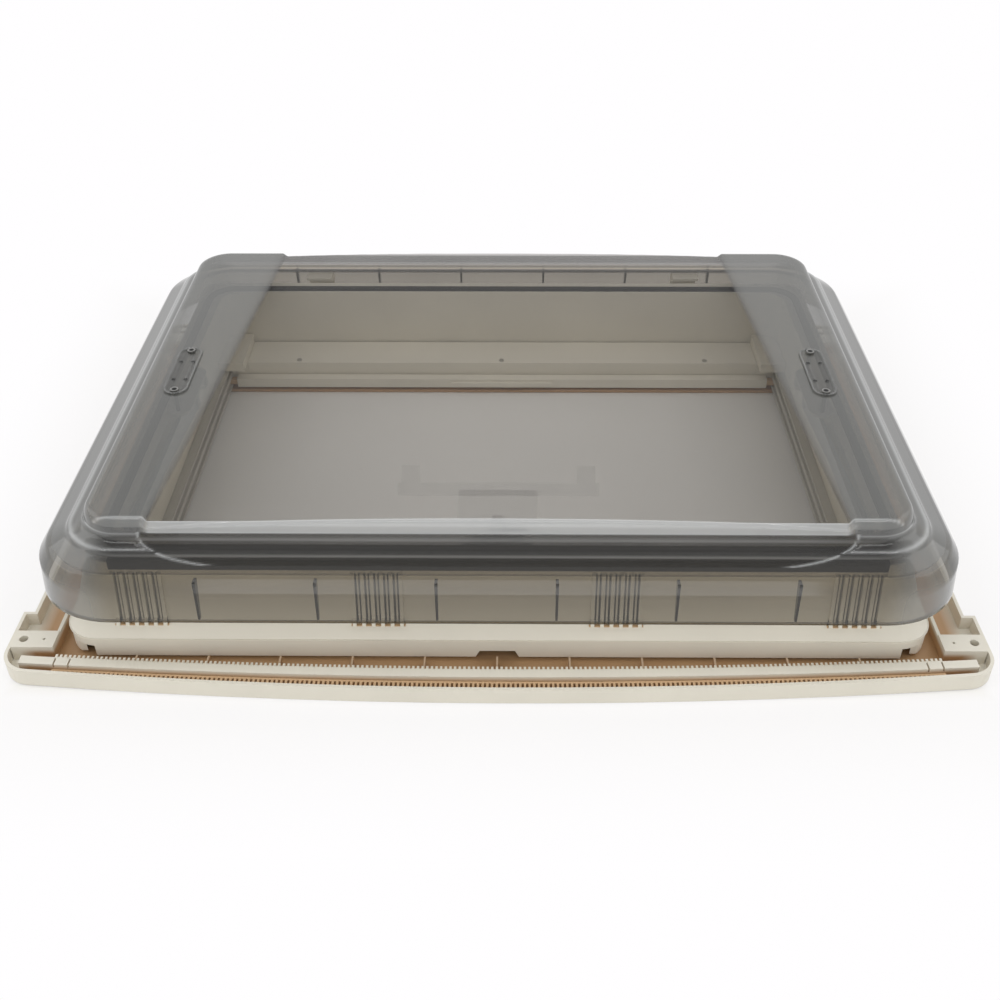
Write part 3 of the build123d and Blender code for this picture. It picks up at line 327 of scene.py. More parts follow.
def metal(tree, where, code, rough, stretch):
    """A metal finish: plated, turned or drawn. Fine streaks follow the way it was worked."""
    # Streaks are 0.1 mm wide in life and are drawn at 1.1 mm, the finest that shows
    turned = add(tree, "Mapping", {"Scale": stretch}, {"Vector": where})
    streak = add(tree, "TexNoise", {"Scale": 900.0, "Detail": 3.0}, {"Vector": turned})
    tone = linear(code)
    body = add(tree, "ValToRGB", links={"Fac": streak},
               stops=[(0.3, shade_of(tone, 0.82)), (0.7, shade_of(tone, 1.08))])
    worn = add(tree, "MapRange", {"To Min": rough - 0.08, "To Max": rough + 0.1},
               {"Value": streak})
    bump = add(tree, "Bump", {"Strength": 0.08, "Distance": 0.0001}, {"Height": streak})
    return add(tree, "BsdfPrincipled", {"Metallic": 1.0},
               {"Base Color": body, "Roughness": worn, "Normal": bump})


def woven_cloth(tree, where, tone, pitch, holes):
    """Plain weave: threads cross over and under at the pitch. Open mesh has a hole in each square."""
    axes = add(tree, "SeparateXYZ", links={"Vector": where}).outputs
    waves = []
    for axis in ("X", "Y"):
        phase = add(tree, "Math", {1: math.tau / 2 / pitch}, {0: axes[axis]}, operation="MULTIPLY")
        wave = add(tree, "Math", links={0: phase}, operation="SINE")
        waves.append(add(tree, "Math", links={0: wave}, operation="ABSOLUTE"))
    over = add(tree, "Math", links=dict(enumerate(waves)),
               operation="MINIMUM" if holes else "MULTIPLY")
    # Threads vary in tone over about 4 mm
    thread = add(tree, "TexNoise", {"Scale": 260.0, "Detail": 4.0}, {"Vector": where})
    body = add(tree, "ValToRGB", links={"Fac": thread},
               stops=[(0.3, shade_of(tone, 0.85)), (0.7, shade_of(tone, 1.08))])
    bump = add(tree, "Bump", {"Strength": 0.35, "Distance": 0.0003}, {"Height": over})
    shader = add(tree, "BsdfPrincipled", {"Roughness": 0.85, "Sheen Weight": 0.15},
                 {"Base Color": body, "Normal": bump})
    if not holes:
        return shader
    hole = add(tree, "MapRange", {"From Min": 0.52, "From Max": 0.48}, {"Value": over})
    return add(tree, "MixShader", links={0: hole, 1: add(tree, "BsdfTransparent"), 2: shader})


FINISHES = {}
OWN_FINISH = {"ceiling_trim": "trim_plastic", "stay_screws": "cover_screws"}


def finish(slot):
    """The finish of one of the record's material slots, made when first asked for."""
    if slot in FINISHES:
        return FINISHES[slot]
    tones = bpy.context.scene.vent_colours
    # The blind's threads lie 0.5 mm apart in life and are drawn at 1.2 mm, the finest that shows
    makers = {
        "cream_plastic": ("cream moulded ABS", moulded_abs, tones.cream),
        # The trim's cream is darker than the frame's, though both are the same plastic: painted shade
        "trim_plastic": ("cream moulded ABS, tray", moulded_abs, shade_of(tones.cream, 0.93),
                         tones.pocket_shade),
        "shaded_plastic": ("tan moulded ABS", moulded_abs, tones.tan),
        "grey_plastic": ("grey moulded nylon", moulded_abs, tones.grey),
        "red_plastic": ("red moulded ABS", moulded_abs, tones.red),
        "smoked_skin": ("smoked acrylic", smoked_acrylic, 1.0),
        "smoked_pane": ("smoked acrylic, inner pane", smoked_acrylic, 0.35),
        "smoked_acrylic": ("smoked acrylic moulding", tinted_moulding),
        "cover_screws": ("socket screws", socket_steel, (313.7 * MM, -17 * MM), 38 * MM, 2.3 * MM),
        "black_rubber": ("extruded EPDM", extruded_rubber, tones.rubber),
        "black_foam": ("closed-cell foam", cellular_foam, tones.foam),
        "zinc_steel": ("zinc-plated steel", metal, "B9BBB8", 0.38, (1, 1, 1)),
        "stainless_steel": ("turned stainless steel", metal, "C9C9C6", 0.28, (1, 1, 0.1)),
        "aluminium": ("drawn aluminium", metal, "D3D4D4", 0.33, (0.05, 1, 1)),
        "blind_cloth": ("coated blackout cloth", woven_cloth, tones.blind, 1.2 * MM, False),
        "insect_mesh": ("glass-fibre insect mesh", woven_cloth, tones.mesh, 1.6 * MM, True),
    }
    FINISHES[slot] = new_material(*makers[slot])
    return FINISHES[slot]


# Meshes

def new_piece(name, points, faces, slots, body, stands_for=(), face_slots=None, sharp=40):
    """A mesh piece in the frame, with its finishes, on its body, in place of its nodes."""
    mesh = bpy.data.meshes.new(name)
    mesh.from_pydata([tuple(p) for p in points], [], [tuple(int(i) for i in f) for f in faces])
    mesh.validate()
    for slot in slots:
        mesh.materials.append(finish(slot))
    if face_slots is not None:
        mesh.polygons.foreach_set("material_index", np.asarray(face_slots, np.int32))
    mesh.shade_smooth()
    mesh.set_sharp_from_angle(angle=math.radians(sharp))
    piece = bpy.data.objects.new(name, mesh)
    bpy.context.scene.collection.objects.link(piece)
    if body:
        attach(piece, body)
    if stands_for:
        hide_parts(*stands_for)
    return piece


def smooth_step(t):
    """Eases from 0 to 1 as t does, and stays there on either side."""
    t = np.clip(t, 0.0, 1.0)
    return t * t * (3 - 2 * t)


def circle(middle, radius, z, steps, turn=1):
    """Points round a level circle; turn is -1 for clockwise."""
    angles = [turn * math.tau * k / steps for k in range(steps)]
    return [(middle[0] + radius * math.cos(a), middle[1] + radius * math.sin(a), z)
            for a in angles]


def quads(first, rows, wide, closed=True):
    """Quads between rows of points that follow each other; a closed row runs round to its start."""
    faces = []
    for row in range(first, first + (rows - 1) * wide, wide):
        for i in range(wide if closed else wide - 1):
            a, b = row + i, row + (i + 1) % wide
            faces.append((a, b, b + wide, a + wide))
    return faces


def fine_path(knots, step, soften):
    """A path through the knots at an even step, with its corners softened."""
    knots = np.asarray(knots, float)
    runs = np.linalg.norm(np.diff(knots, axis=0), axis=1)
    points = [knots[0]]
    for start, end, run in zip(knots[:-1], knots[1:], runs):
        count = max(1, round(run / step))
        points += [start + (end - start) * k / count for k in range(1, count + 1)]
    points = np.array(points)
    for _ in range(soften):
        points[1:-1] = (points[:-2] + 2 * points[1:-1] + points[2:]) / 4
    return points


def spread(limit, edge, soft, outer=8, slope=8, middle=150):
    """Places along a side, closest together across the two wing edges and beside them."""
    half = np.concatenate([np.linspace(-limit, -edge - soft, outer + 1),
                           np.linspace(-edge - soft, -edge + soft, slope + 1)[1:]])
    even = np.linspace(-1, 1, middle + 1)[1:-1]
    centre = (edge - soft) * (0.45 * even + 0.55 * np.sin(even * math.pi / 2))
    return np.concatenate([half, centre, -half[::-1]])


def ring_points(half_x, half_y, corner, front, rear, side, per_corner=8):
    """A rounded rectangle as four runs, each from the middle of one corner to that of the next:
    front left to right, right side, rear right to left, left side."""
    corner = max(corner, 1 * MM)
    turn = np.radians(np.linspace(0, 45, per_corner + 1)[:-1])
    back = np.radians(45) - turn[::-1]
    x0, y0 = half_x - corner, half_y - corner

    def arc(cx, cy, start, angles):
        angles = np.radians(start) + angles
        return np.stack([cx + corner * np.cos(angles), cy + corner * np.sin(angles)], axis=1)

    def line(x, y):
        return np.stack(np.broadcast_arrays(x, y), axis=1)

    runs = [(arc(-x0, -y0, 225, turn), line(front, -half_y), arc(x0, -y0, 270, back)),
            (arc(x0, -y0, 315, turn), line(half_x, side), arc(x0, y0, 0, back)),
            (arc(x0, y0, 45, turn), line(rear[::-1], half_y), arc(-x0, y0, 90, back)),
            (arc(-x0, y0, 135, turn), line(-half_x, side[::-1]), arc(-x0, -y0, 180, back))]
    return [np.concatenate(run)[:-1] for run in runs]


def middle_grid(runs, hold):
    """Fills the last ring: its runs are the grid's border. Returns new points and index rows."""
    border = np.concatenate(runs)
    total = len(border)
    columns, rows = len(runs[0]) + 1, len(runs[1]) + 1
    table = np.zeros((rows, columns), int)
    table[0] = front = np.arange(columns)
    table[-1] = rear = total - len(runs[3]) - np.arange(columns)
    table[:, 0] = left = (total - np.arange(rows)) % total
    table[:, -1] = right = len(runs[0]) + np.arange(rows)
    y = border[left][:, 1]
    share = (y - y[0]) / (y[-1] - y[0])
    points = []
    for j in range(1, rows - 1):
        v = share[j]
        for i in range(1, columns - 1):
            point = (1 - v) * border[front[i]] + v * border[rear[i]]
            # Near the sides the grid follows their own bend
            for edge, place in ((left, i), (right, columns - 1 - i)):
                weight = max(0.0, 1 - place / hold)
                ends = (1 - v) * border[edge[0]] + v * border[edge[-1]]
                point = point + weight * (border[edge[j]] - ends)
            table[j, i] = total + len(points)
            points.append(point)
    return np.array(points), table


def skin_faces(rings, table):
    """Quads between the rings of a skin and over the grid that fills the last of them."""
    around = len(rings[0])
    table = table + (len(rings) - 1) * around
    return quads(0, len(rings), around) + [
        (table[j, i], table[j, i + 1], table[j + 1, i + 1], table[j + 1, i])
        for j in range(len(table) - 1) for i in range(len(table[0]) - 1)]


def set_acrylic(piece, **looks):
    """Density, haze and glint of the acrylic at each point."""
    for name, values in looks.items():
        attribute = piece.data.attributes.new(name, "FLOAT", "POINT")
        attribute.data.foreach_set("value", np.asarray(values, np.float32))


def dome_profile():
    """Insets and rises of the outer skin from its hem to the wings, in metres."""
    hem = [(3.05, 1.2), (3.0, 0.4), (2.6, 0), (0.4, 0), (0, 0.4)]
    steps = [(2, 30), (9, 42), (24, 52), (26, 55.5), (36.5, 59.5), (38.5, 63.5), (40, 71),
             (42.5, 75.5), (46, 77), (54, 77)]
    skirt = fine_path(hem + steps[:1], 4.0, 0)
    upper = fine_path(steps, 1.1, 3)
    return np.concatenate([skirt, upper[1:]]) * MM, len(hem)


def wing_edge(sizes, y):
    """From the middle to a wing's inner edge."""
    along = np.clip((y - TOP_FRONT) / (TOP_REAR - TOP_FRONT), 0, 1)
    return sizes.wing_front + (sizes.wing_rear - sizes.wing_front) * along


def outer_skin_heights(sizes, x, y, base, top):
    """Height of the outer skin where the plain stepped dome has the given height."""
    radius = (sizes.wing_front**2 + sizes.recess_crown**2) / (2 * sizes.recess_crown)
    floor = top - sizes.recess_drop + sizes.recess_crown - x**2 / (2 * radius)
    out = smooth_step((np.abs(x) - wing_edge(sizes, y) + sizes.wing_soft) / (2 * sizes.wing_soft))
    height = np.minimum(base, floor) * (1 - out) + base * out
    head, foot = top - sizes.apron_head, top - TOP_RISE + sizes.apron_foot
    reach = TOP_FRONT - y
    plane = head - (head - foot) * reach / sizes.apron_reach
    # Outline of the apron, and how fast it is crossed, so that its edge is equally soft all round
    power = sizes.apron_power
    across, ahead = np.abs(x / sizes.apron_half), np.abs(reach / sizes.apron_reach)
    pull = power * np.hypot(across**(power - 1) / sizes.apron_half,
                            ahead**(power - 1) / sizes.apron_reach) + 1e-6
    inside = smooth_step((1 - across**power - ahead**power) / pull / (3.2 * MM))
    inside = np.where(reach > 0, inside, 0)
    return height + np.maximum(plane - height, 0) * inside, out, inside


class ROOFVENT_OT_outer_skin(bpy.types.Operator):
    """Outer smoked skin: stepped dome, two wings, crowned middle panel, apron and ribs"""
    bl_idname = "roofvent.outer_skin"
    bl_label = "Outer skin"

    def execute(self, context):
        sizes = context.scene.vent_dome
        low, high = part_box("dome_outer")
        half_x, half_y, base, top = high[0], high[1], low[2], low[2] + TOP_RISE
        path, hem = dome_profile()
        rings, heights = [], []
        for inset, rise in path:
            # The ends lean in a little more than the front and rear
            inner_x, inner_y = half_x - 1.2 * inset, half_y - inset
            corner = HEM_CORNER - inset
            front = spread(inner_x - corner, sizes.wing_front, sizes.wing_soft)
            rear = spread(inner_x - corner, wing_edge(sizes, inner_y), sizes.wing_soft)
            side = np.linspace(corner - inner_y, inner_y - corner, 90)
            runs = ring_points(inner_x, inner_y, corner, front, rear, side)
            rings.append(np.concatenate(runs))
            heights.append(np.full(len(rings[-1]), base + rise))
        more, table = middle_grid(runs, hold=11)
        flat = np.concatenate(rings + [more])
        plain = np.concatenate(heights + [np.full(len(more), top)])
        z, out, inside = outer_skin_heights(sizes, flat[:, 0], flat[:, 1], plain, top)
        # The skirt keeps its plain form
        z = np.where(plain > base + 35 * MM, z, plain)
        looks = self.looks(path, hem, len(rings[0]), len(more), flat, z, plain, base, out, inside)
        ribs, extra = self.ribs(sizes, half_y, base, len(flat))
        piece = new_piece("outer_skin", np.concatenate([np.column_stack([flat, z]), ribs]),
                          skin_faces(rings, table) + extra, ["smoked_skin"], "dome",
                          ["dome_outer"], sharp=60)
        rib = {"smoke": 0.86, "haze": 0.0, "glint": 0.0, "warm": 1.0}
        set_acrylic(piece, **{name: np.concatenate([values, np.full(len(ribs), rib[name])])
                              for name, values in looks.items()})
        return {"FINISHED"}

    def looks(self, path, hem, around, inner, flat, z, plain, base, out, inside):
        """Where the skin is dense, dulled or light; the dark lines are painted shade and the light
        lines painted highlights.
        """
        run, lift = np.gradient(path[:, 0]), np.gradient(path[:, 1])
        steep = np.abs(lift) / (np.hypot(run, lift) + 1e-9)
        rise = path[:, 1] / MM
        density = np.interp(rise, [0, 28, 34, 42, 60, 77],
                            [0.66, 0.66, 0.67, 0.56, 0.38, OUTER_FLAT])
        # Painted shade: dark lines along the steep steps
        density += 0.45 * smooth_step((steep - 0.72) / 0.25) * (rise > 46) * (rise < 72)
        density[:hem] = 0.62
        # Painted highlights along two step edges
        edge = np.exp(-((rise - 56.2) / 0.7)**2) + np.exp(-((rise - 64.3) / 0.8)**2)
        smoke = np.concatenate([np.repeat(density, around), np.full(inner, OUTER_FLAT)])
        glint = np.concatenate([np.repeat(0.45 * edge, around), np.zeros(inner)])
        # Millimetres from the middle, ahead of the top's front edge, and over the hem
        x, ahead = np.abs(flat[:, 0]) / MM, (TOP_FRONT - flat[:, 1]) / MM
        level = (plain - base) / MM
        # Wings and sides are dulled; the middle panel and the front skirt stay clear
        side = smooth_step((x - 318) / 26)
        haze = np.where(level > 70, np.maximum(smooth_step((out - 0.3) / 0.4), side), side)
        haze *= np.where(level < 45, 0.75, 1.0)
        smoke = smoke * (1 - haze) + np.maximum(smoke, 0.74 + 0.1 * side) * haze
        smoke += 0.07 * side * (level > 42) * (level < 72)
        # Painted light on the low skirt at the ends
        glint = np.maximum(glint, 0.13 * side * smooth_step((38 - level) / 14))
        # The apron is thinner, with a painted highlight along its rim
        apron = (inside > 0.04) & (z > plain + 1e-5) & (ahead > 2)
        rim = 4 * inside * (1 - inside)
        smoke = np.where(apron, 0.3 * inside + smoke * (1 - inside), smoke)
        smoke = np.where(apron, np.maximum(smoke, 0.55 * rim), smoke)
        haze = np.where(apron, haze * (1 - inside), haze)
        glint = np.where(apron, 0.8 * rim, glint * (1 - inside))
        # The rounded front edge of the top is the brightest line, a painted highlight
        front = (ahead > -5) * smooth_step((357 - x) / 36)
        rolled_highlight = smooth_step((8.5 - ahead) / 1.2) * smooth_step(ahead + 1.4)
        rolled_highlight *= front * (level > 62) * (0.25 + 0.75 * (1 - out))
        crest_highlight = front * np.exp(-((ahead - 0.2) / 1.1)**2) * (level > 70) * (1 - 0.3 * out)
        glint = np.maximum(glint, np.maximum(0.62 * rolled_highlight, 0.95 * crest_highlight))
        smoke = np.maximum(smoke, 0.8 * np.maximum(rolled_highlight, crest_highlight))
        # The fold between panel and wing is dense, a painted line of shade
        fold = np.sin(math.pi * np.clip(out, 0, 1))**3 * (level > 66)
        smoke = np.maximum(smoke, 0.62 * fold)
        haze *= 1 - 0.8 * fold
        # Painted warm shade over the skirt, fading out above it
        warm = smooth_step((57 - level) / 14)
        return {"smoke": smoke, "haze": haze * 0.85, "glint": glint, "warm": warm}

    def ribs(self, sizes, half_y, base, first):
        """Tapered ribs inside the front and rear skirts."""
        points, faces = [], []
        for sign in (-1, 1):
            for index in range(6):
                x = (index - 2.5) * sizes.rib_spacing
                a = first + len(points)
                for z, back, half in ((1.2, 3.2, 1.0), (20, 5.5, 1.1), (38.5, 7.6, 1.3)):
                    # The skirt leans in by 2 mm in 30 mm of height
                    face = half_y - 3.1 * MM - (2 * MM) * z / 30
                    half = half * sizes.rib_thickness / 2
                    for dx, dy in ((-half, 0), (half, 0), (half, back * MM), (-half, back * MM)):
                        points.append((x + dx, sign * (face - dy), base + z * MM))
                faces += quads(a, 3, 4)
                faces += [(a, a + 1, a + 2, a + 3), (a + 8, a + 9, a + 10, a + 11)]
        return np.array(points), faces


class ROOFVENT_OT_inner_pane(bpy.types.Operator):
    """Inner smoked pane: flange, two nested steps and the flat plate, as one surface"""
    bl_idname = "roofvent.inner_pane"
    bl_label = "Inner pane"

    def execute(self, context):
        low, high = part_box("dome_inner")
        half_x, half_y = high[0], high[1]
        knots = [(0.6, 102.6), (0.2, 103.2), (0.3, 104.6), (1, 105), (11.5, 105.6), (13, 110.5),
                 (24, 112.5), (25.5, 118), (43.5, 120.2), (46.5, 121), (60, 121)]
        path = fine_path(knots, 1.1, 2)
        # The steps come in by more at the ends than at the front and rear
        ratio = (half_x - 330.5 * MM) / (half_y - 238.5 * MM)
        rings, heights = [], []
        for inset, z in path:
            inset *= MM
            inner_x, inner_y = half_x - ratio * inset, half_y - inset
            corner = max(24 * MM, 58 * MM - inset * 0.75)
            front = np.linspace(corner - inner_x, inner_x - corner, 70)
            side = np.linspace(corner - inner_y, inner_y - corner, 50)
            runs = ring_points(inner_x, inner_y, corner, front, front, side, 6)
            rings.append(np.concatenate(runs))
            heights.append(np.full(len(rings[-1]), z * MM))
        more, table = middle_grid(runs, hold=8)
        around = len(rings[0])
        steep = np.abs(np.gradient(path[:, 1])) / np.hypot(*np.gradient(path, axis=0).T)
        # Painted shade in dark lines along the steep steps, and painted highlights along two step
        # edges
        density = INNER_FLAT + 0.3 * smooth_step((steep - 0.6) / 0.35)
        light = sum(np.exp(-((path[:, 1] - edge) / 0.35)**2) for edge in (110.9, 118.3))
        # The pane's front steps are painted nearly black: painted shade
        painted_shade_share = smooth_step((path[:, 0] - 12) / 3) * smooth_step((39 - path[:, 0]) / 3)
        painted_front_shade = np.repeat(painted_shade_share, around) * (np.concatenate(rings)[:, 1] < -236 * MM)
        smoke = np.concatenate([np.maximum(np.repeat(density, around), 0.86 * painted_front_shade),
                                np.full(len(more), INNER_FLAT)])
        glint = np.concatenate([np.repeat(0.4 * light, around), np.zeros(len(more))])
        levels = np.concatenate([*heights, np.full(len(more), high[2])])
        piece = new_piece("inner_pane", np.column_stack([np.concatenate(rings + [more]), levels]),
                          skin_faces(rings, table), ["smoked_pane"], "dome", ["dome_inner"],
                          sharp=60)
        set_acrylic(piece, smoke=smoke, glint=glint)
        return {"FINISHED"}


class ROOFVENT_OT_oval_covers(bpy.types.Operator):
    """Oval covers over the stay screws: raised rim, dished middle and four low dark pips"""
    bl_idname = "roofvent.oval_covers"
    bl_label = "Oval covers"

    def execute(self, context):
        low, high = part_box("stay_covers")
        half_x, half_y = 12 * MM, (high[1] - low[1]) / 2
        centre_x, centre_y = high[0] - half_x, (high[1] + low[1]) / 2
        path = fine_path([(0, -0.4), (0, 1.7), (0.5, 2.0), (1.7, 2.0), (2.3, 1.6), (2.7, 0.9),
                          (4.6, 0.8), (5.1, 1.3), (6.2, 1.3), (6.8, 0.8), (11.4, 0.8)], 0.35, 1)
        around, points, faces, slots = 48, [], [], []
        for side in (-1, 1):
            first = len(points)
            for inset, z in path:
                reach = half_x - inset * MM
                for k in range(around):
                    angle = math.tau * (k + 0.5) / around
                    x, y = reach * math.cos(angle), reach * math.sin(angle)
                    points.append((side * centre_x + x,
                                   centre_y + y + math.copysign(half_y - half_x, y),
                                   low[2] + z * MM))
            faces += quads(first, len(path), around)
            faces.append(tuple(range(len(points) - around, len(points))))
            slots += [0] * (len(faces) - len(slots))
            # Low dark domes
            for dx, dy in ((-6, 17), (6, 17), (-6, -17), (6, -17)):
                pip = len(points)
                for radius, height in ((1.9, 0.0), (1.6, 0.35), (0.9, 0.55)):
                    points += circle((side * centre_x + dx * MM, centre_y + dy * MM), radius * MM,
                                     low[2] + 0.8 * MM + height * MM, 16)
                faces += quads(pip, 3, 16)
                faces.append(tuple(range(pip + 32, pip + 48)))
            slots += [1] * (len(faces) - len(slots))
        piece = new_piece("oval_covers", points, faces, ["smoked_skin", "black_rubber"], "dome",
                          ["stay_covers"], slots, sharp=35)
        # Each look at the rings of an oval, and on its pips
        lift = np.abs(np.gradient(path[:, 1]))
        looks = {"smoke": (0.24 + 0.4 * np.minimum(1.0, lift * 4), 1.0),
                 "haze": (np.full(len(path), 0.7), 0.0),
                 # Painted highlight along the top of the raised rim
                 "glint": (np.where(path[:, 1] > 1.9, 0.5, 0.0), 0.0)}
        pips = len(points) // 2 - len(path) * around
        set_acrylic(piece, **{
            name: np.tile(np.concatenate([np.repeat(rings, around), np.full(pips, rest)]), 2)
            for name, (rings, rest) in looks.items()})
        return {"FINISHED"}


def prism(points, faces, outline, low, high, bevel):
    """A solid over a convex outline, with its upper and lower edges bevelled."""
    outline = np.asarray(outline)
    middle = (outline.max(0) + outline.min(0)) / 2
    half = (outline.max(0) - outline.min(0)) / 2
    first, count = len(points), len(outline)
    for z, inward in ((low, bevel), (low + bevel, 0), (high - bevel, 0), (high, bevel)):
        ring = middle + (outline - middle) * (1 - inward / half)
        points += [(x, y, z) for x, y in ring]
    faces += quads(first, 4, count)
    faces += [tuple(range(first + count - 1, first - 1, -1)),
              tuple(range(first + 3 * count, first + 4 * count))]


def open_bore(points, faces, cap, middle, radius, depth, steps=32):
    """Opens a prism's lower cap, taken out of the faces, into a round blind hole."""
    corners = list(faces.pop(cap))
    first, base = len(points), points[corners[0]][2]
    for level in (base, base + depth):
        points += circle(middle, radius, level, steps, -1)
    order = corners + list(range(first, first + steps))
    loops = [[Vector(points[i]) for i in loop] for loop in (corners, order[len(corners):])]
    for triangle in tessellate_polygon(loops):
        a, b, c = (order[i] for i in triangle)
        start = Vector(points[a])
        up = (Vector(points[b]) - start).cross(Vector(points[c]) - start).z > 0
        faces.append((a, c, b) if up else (a, b, c))
    faces += quads(first, 2, steps)
    faces.append(tuple(range(first + steps, first + 2 * steps)))


def rounded_outline(half_x, half_y, corner, middle=(0, 0), steps=8):
    """A rounded rectangle, counterclockwise."""
    places = []
    for turn, (sx, sy) in enumerate(((1, 1), (-1, 1), (-1, -1), (1, -1))):
        for k in range(steps + 1):
            angle = math.pi / 2 * (turn + k / steps)
            places.append((middle[0] + sx * (half_x - corner) + corner * math.cos(angle),
                           middle[1] + sy * (half_y - corner) + corner * math.sin(angle)))
    return places


class ROOFVENT_OT_catch(bpy.types.Operator):
    """Catch under the pane: its clear body, the grip that turns in it and the button's spring"""
    bl_idname = "roofvent.catch"
    bl_label = "Catch"

    def execute(self, context):
        low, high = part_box("catch_block")
        middle = ((low[0] + high[0]) / 2, (low[1] + high[1]) / 2)
        under = low[2]
        points, faces = [], []
        prism(points, faces, rounded_outline((high[0] - low[0]) / 2, (high[1] - low[1]) / 2,
                                             3 * MM, middle), low[2], high[2], 0.8 * MM)
        new_piece("catch_body", points, faces, ["smoked_acrylic"], "dome",
                  ["catch_block"])
        low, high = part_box("turn_catch")
        button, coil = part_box("release_button"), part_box("button_spring")
        grip_top = low[2] + 15 * MM
        points, faces = [], []
        # Grip with the button's bore, shaft up to the body, and the finger under the keeper
        prism(points, faces, rounded_outline((high[0] - low[0]) / 2, 7.5 * MM, 7.4 * MM, middle),
              low[2], grip_top, 1.5 * MM)
        open_bore(points, faces, len(faces) - 2, middle,
                  (button[1][0] - button[0][0]) / 2 + 0.08 * MM, coil[1][2] - low[2] + 0.3 * MM)
        prism(points, faces, rounded_outline(6 * MM, 6 * MM, 5.9 * MM, middle),
              grip_top, under - 0.05 * MM, 0.3 * MM)
        prism(points, faces, rounded_outline(10.5 * MM, 5 * MM, 1 * MM,
                                             (middle[0] + 15.5 * MM, middle[1])),
              grip_top + 2 * MM, grip_top + 6 * MM, 0.5 * MM)
        new_piece("turn_grip", points, faces, ["smoked_acrylic"], "latch",
                  ["turn_catch"])
        self.spring(*coil)
        return {"FINISHED"}

    def spring(self, low, high):
        """Coil spring between the button and the top of its bore."""
        wire, turns, around, steps = 0.35 * MM, 5, 8, 24
        radius = (high[0] - low[0]) / 2 - wire
        middle = ((low[0] + high[0]) / 2, (low[1] + high[1]) / 2)
        # The end coils lie close
        levels = [low[2] + wire, low[2] + 3.1 * wire, high[2] - 3.1 * wire, high[2] - wire]
        points = []
        for k in range(turns * steps + 1):
            angle = math.tau * k / steps
            level = np.interp(k / steps, [0, 1, turns - 1, turns], levels)
            for reach, rise, _ in circle((radius, 0), wire, 0, around):
                points.append((middle[0] + reach * math.cos(angle),
                               middle[1] + reach * math.sin(angle), level + rise))
        last = len(points)
        faces = quads(0, turns * steps + 1, around)
        faces += [tuple(range(around - 1, -1, -1)), tuple(range(last - around, last))]
        piece = new_piece("catch_spring", points, faces, ["stainless_steel"], None,
                          ["button_spring"])
        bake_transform(piece)


# Soft strips

def sweep_ring(section, half_x, half_y, corner):
    """A closed section carried round a rounded rectangle; section is (outward, height)."""
    side_x = np.linspace(corner - half_x, half_x - corner, 40)
    side_y = np.linspace(corner - half_y, half_y - corner, 30)
    rings = []
    for out, height in section:
        flat = np.concatenate(ring_points(half_x + out, half_y + out, corner + out, side_x,
                                          side_x, side_y))
        rings.append(np.column_stack([flat, np.full(len(flat), height)]))
    points = np.concatenate(rings)
    # The last ring joins the first
    faces = [tuple(i % len(points) for i in quad)
             for quad in quads(0, len(rings) + 1, len(rings[0]))]
    return points, faces


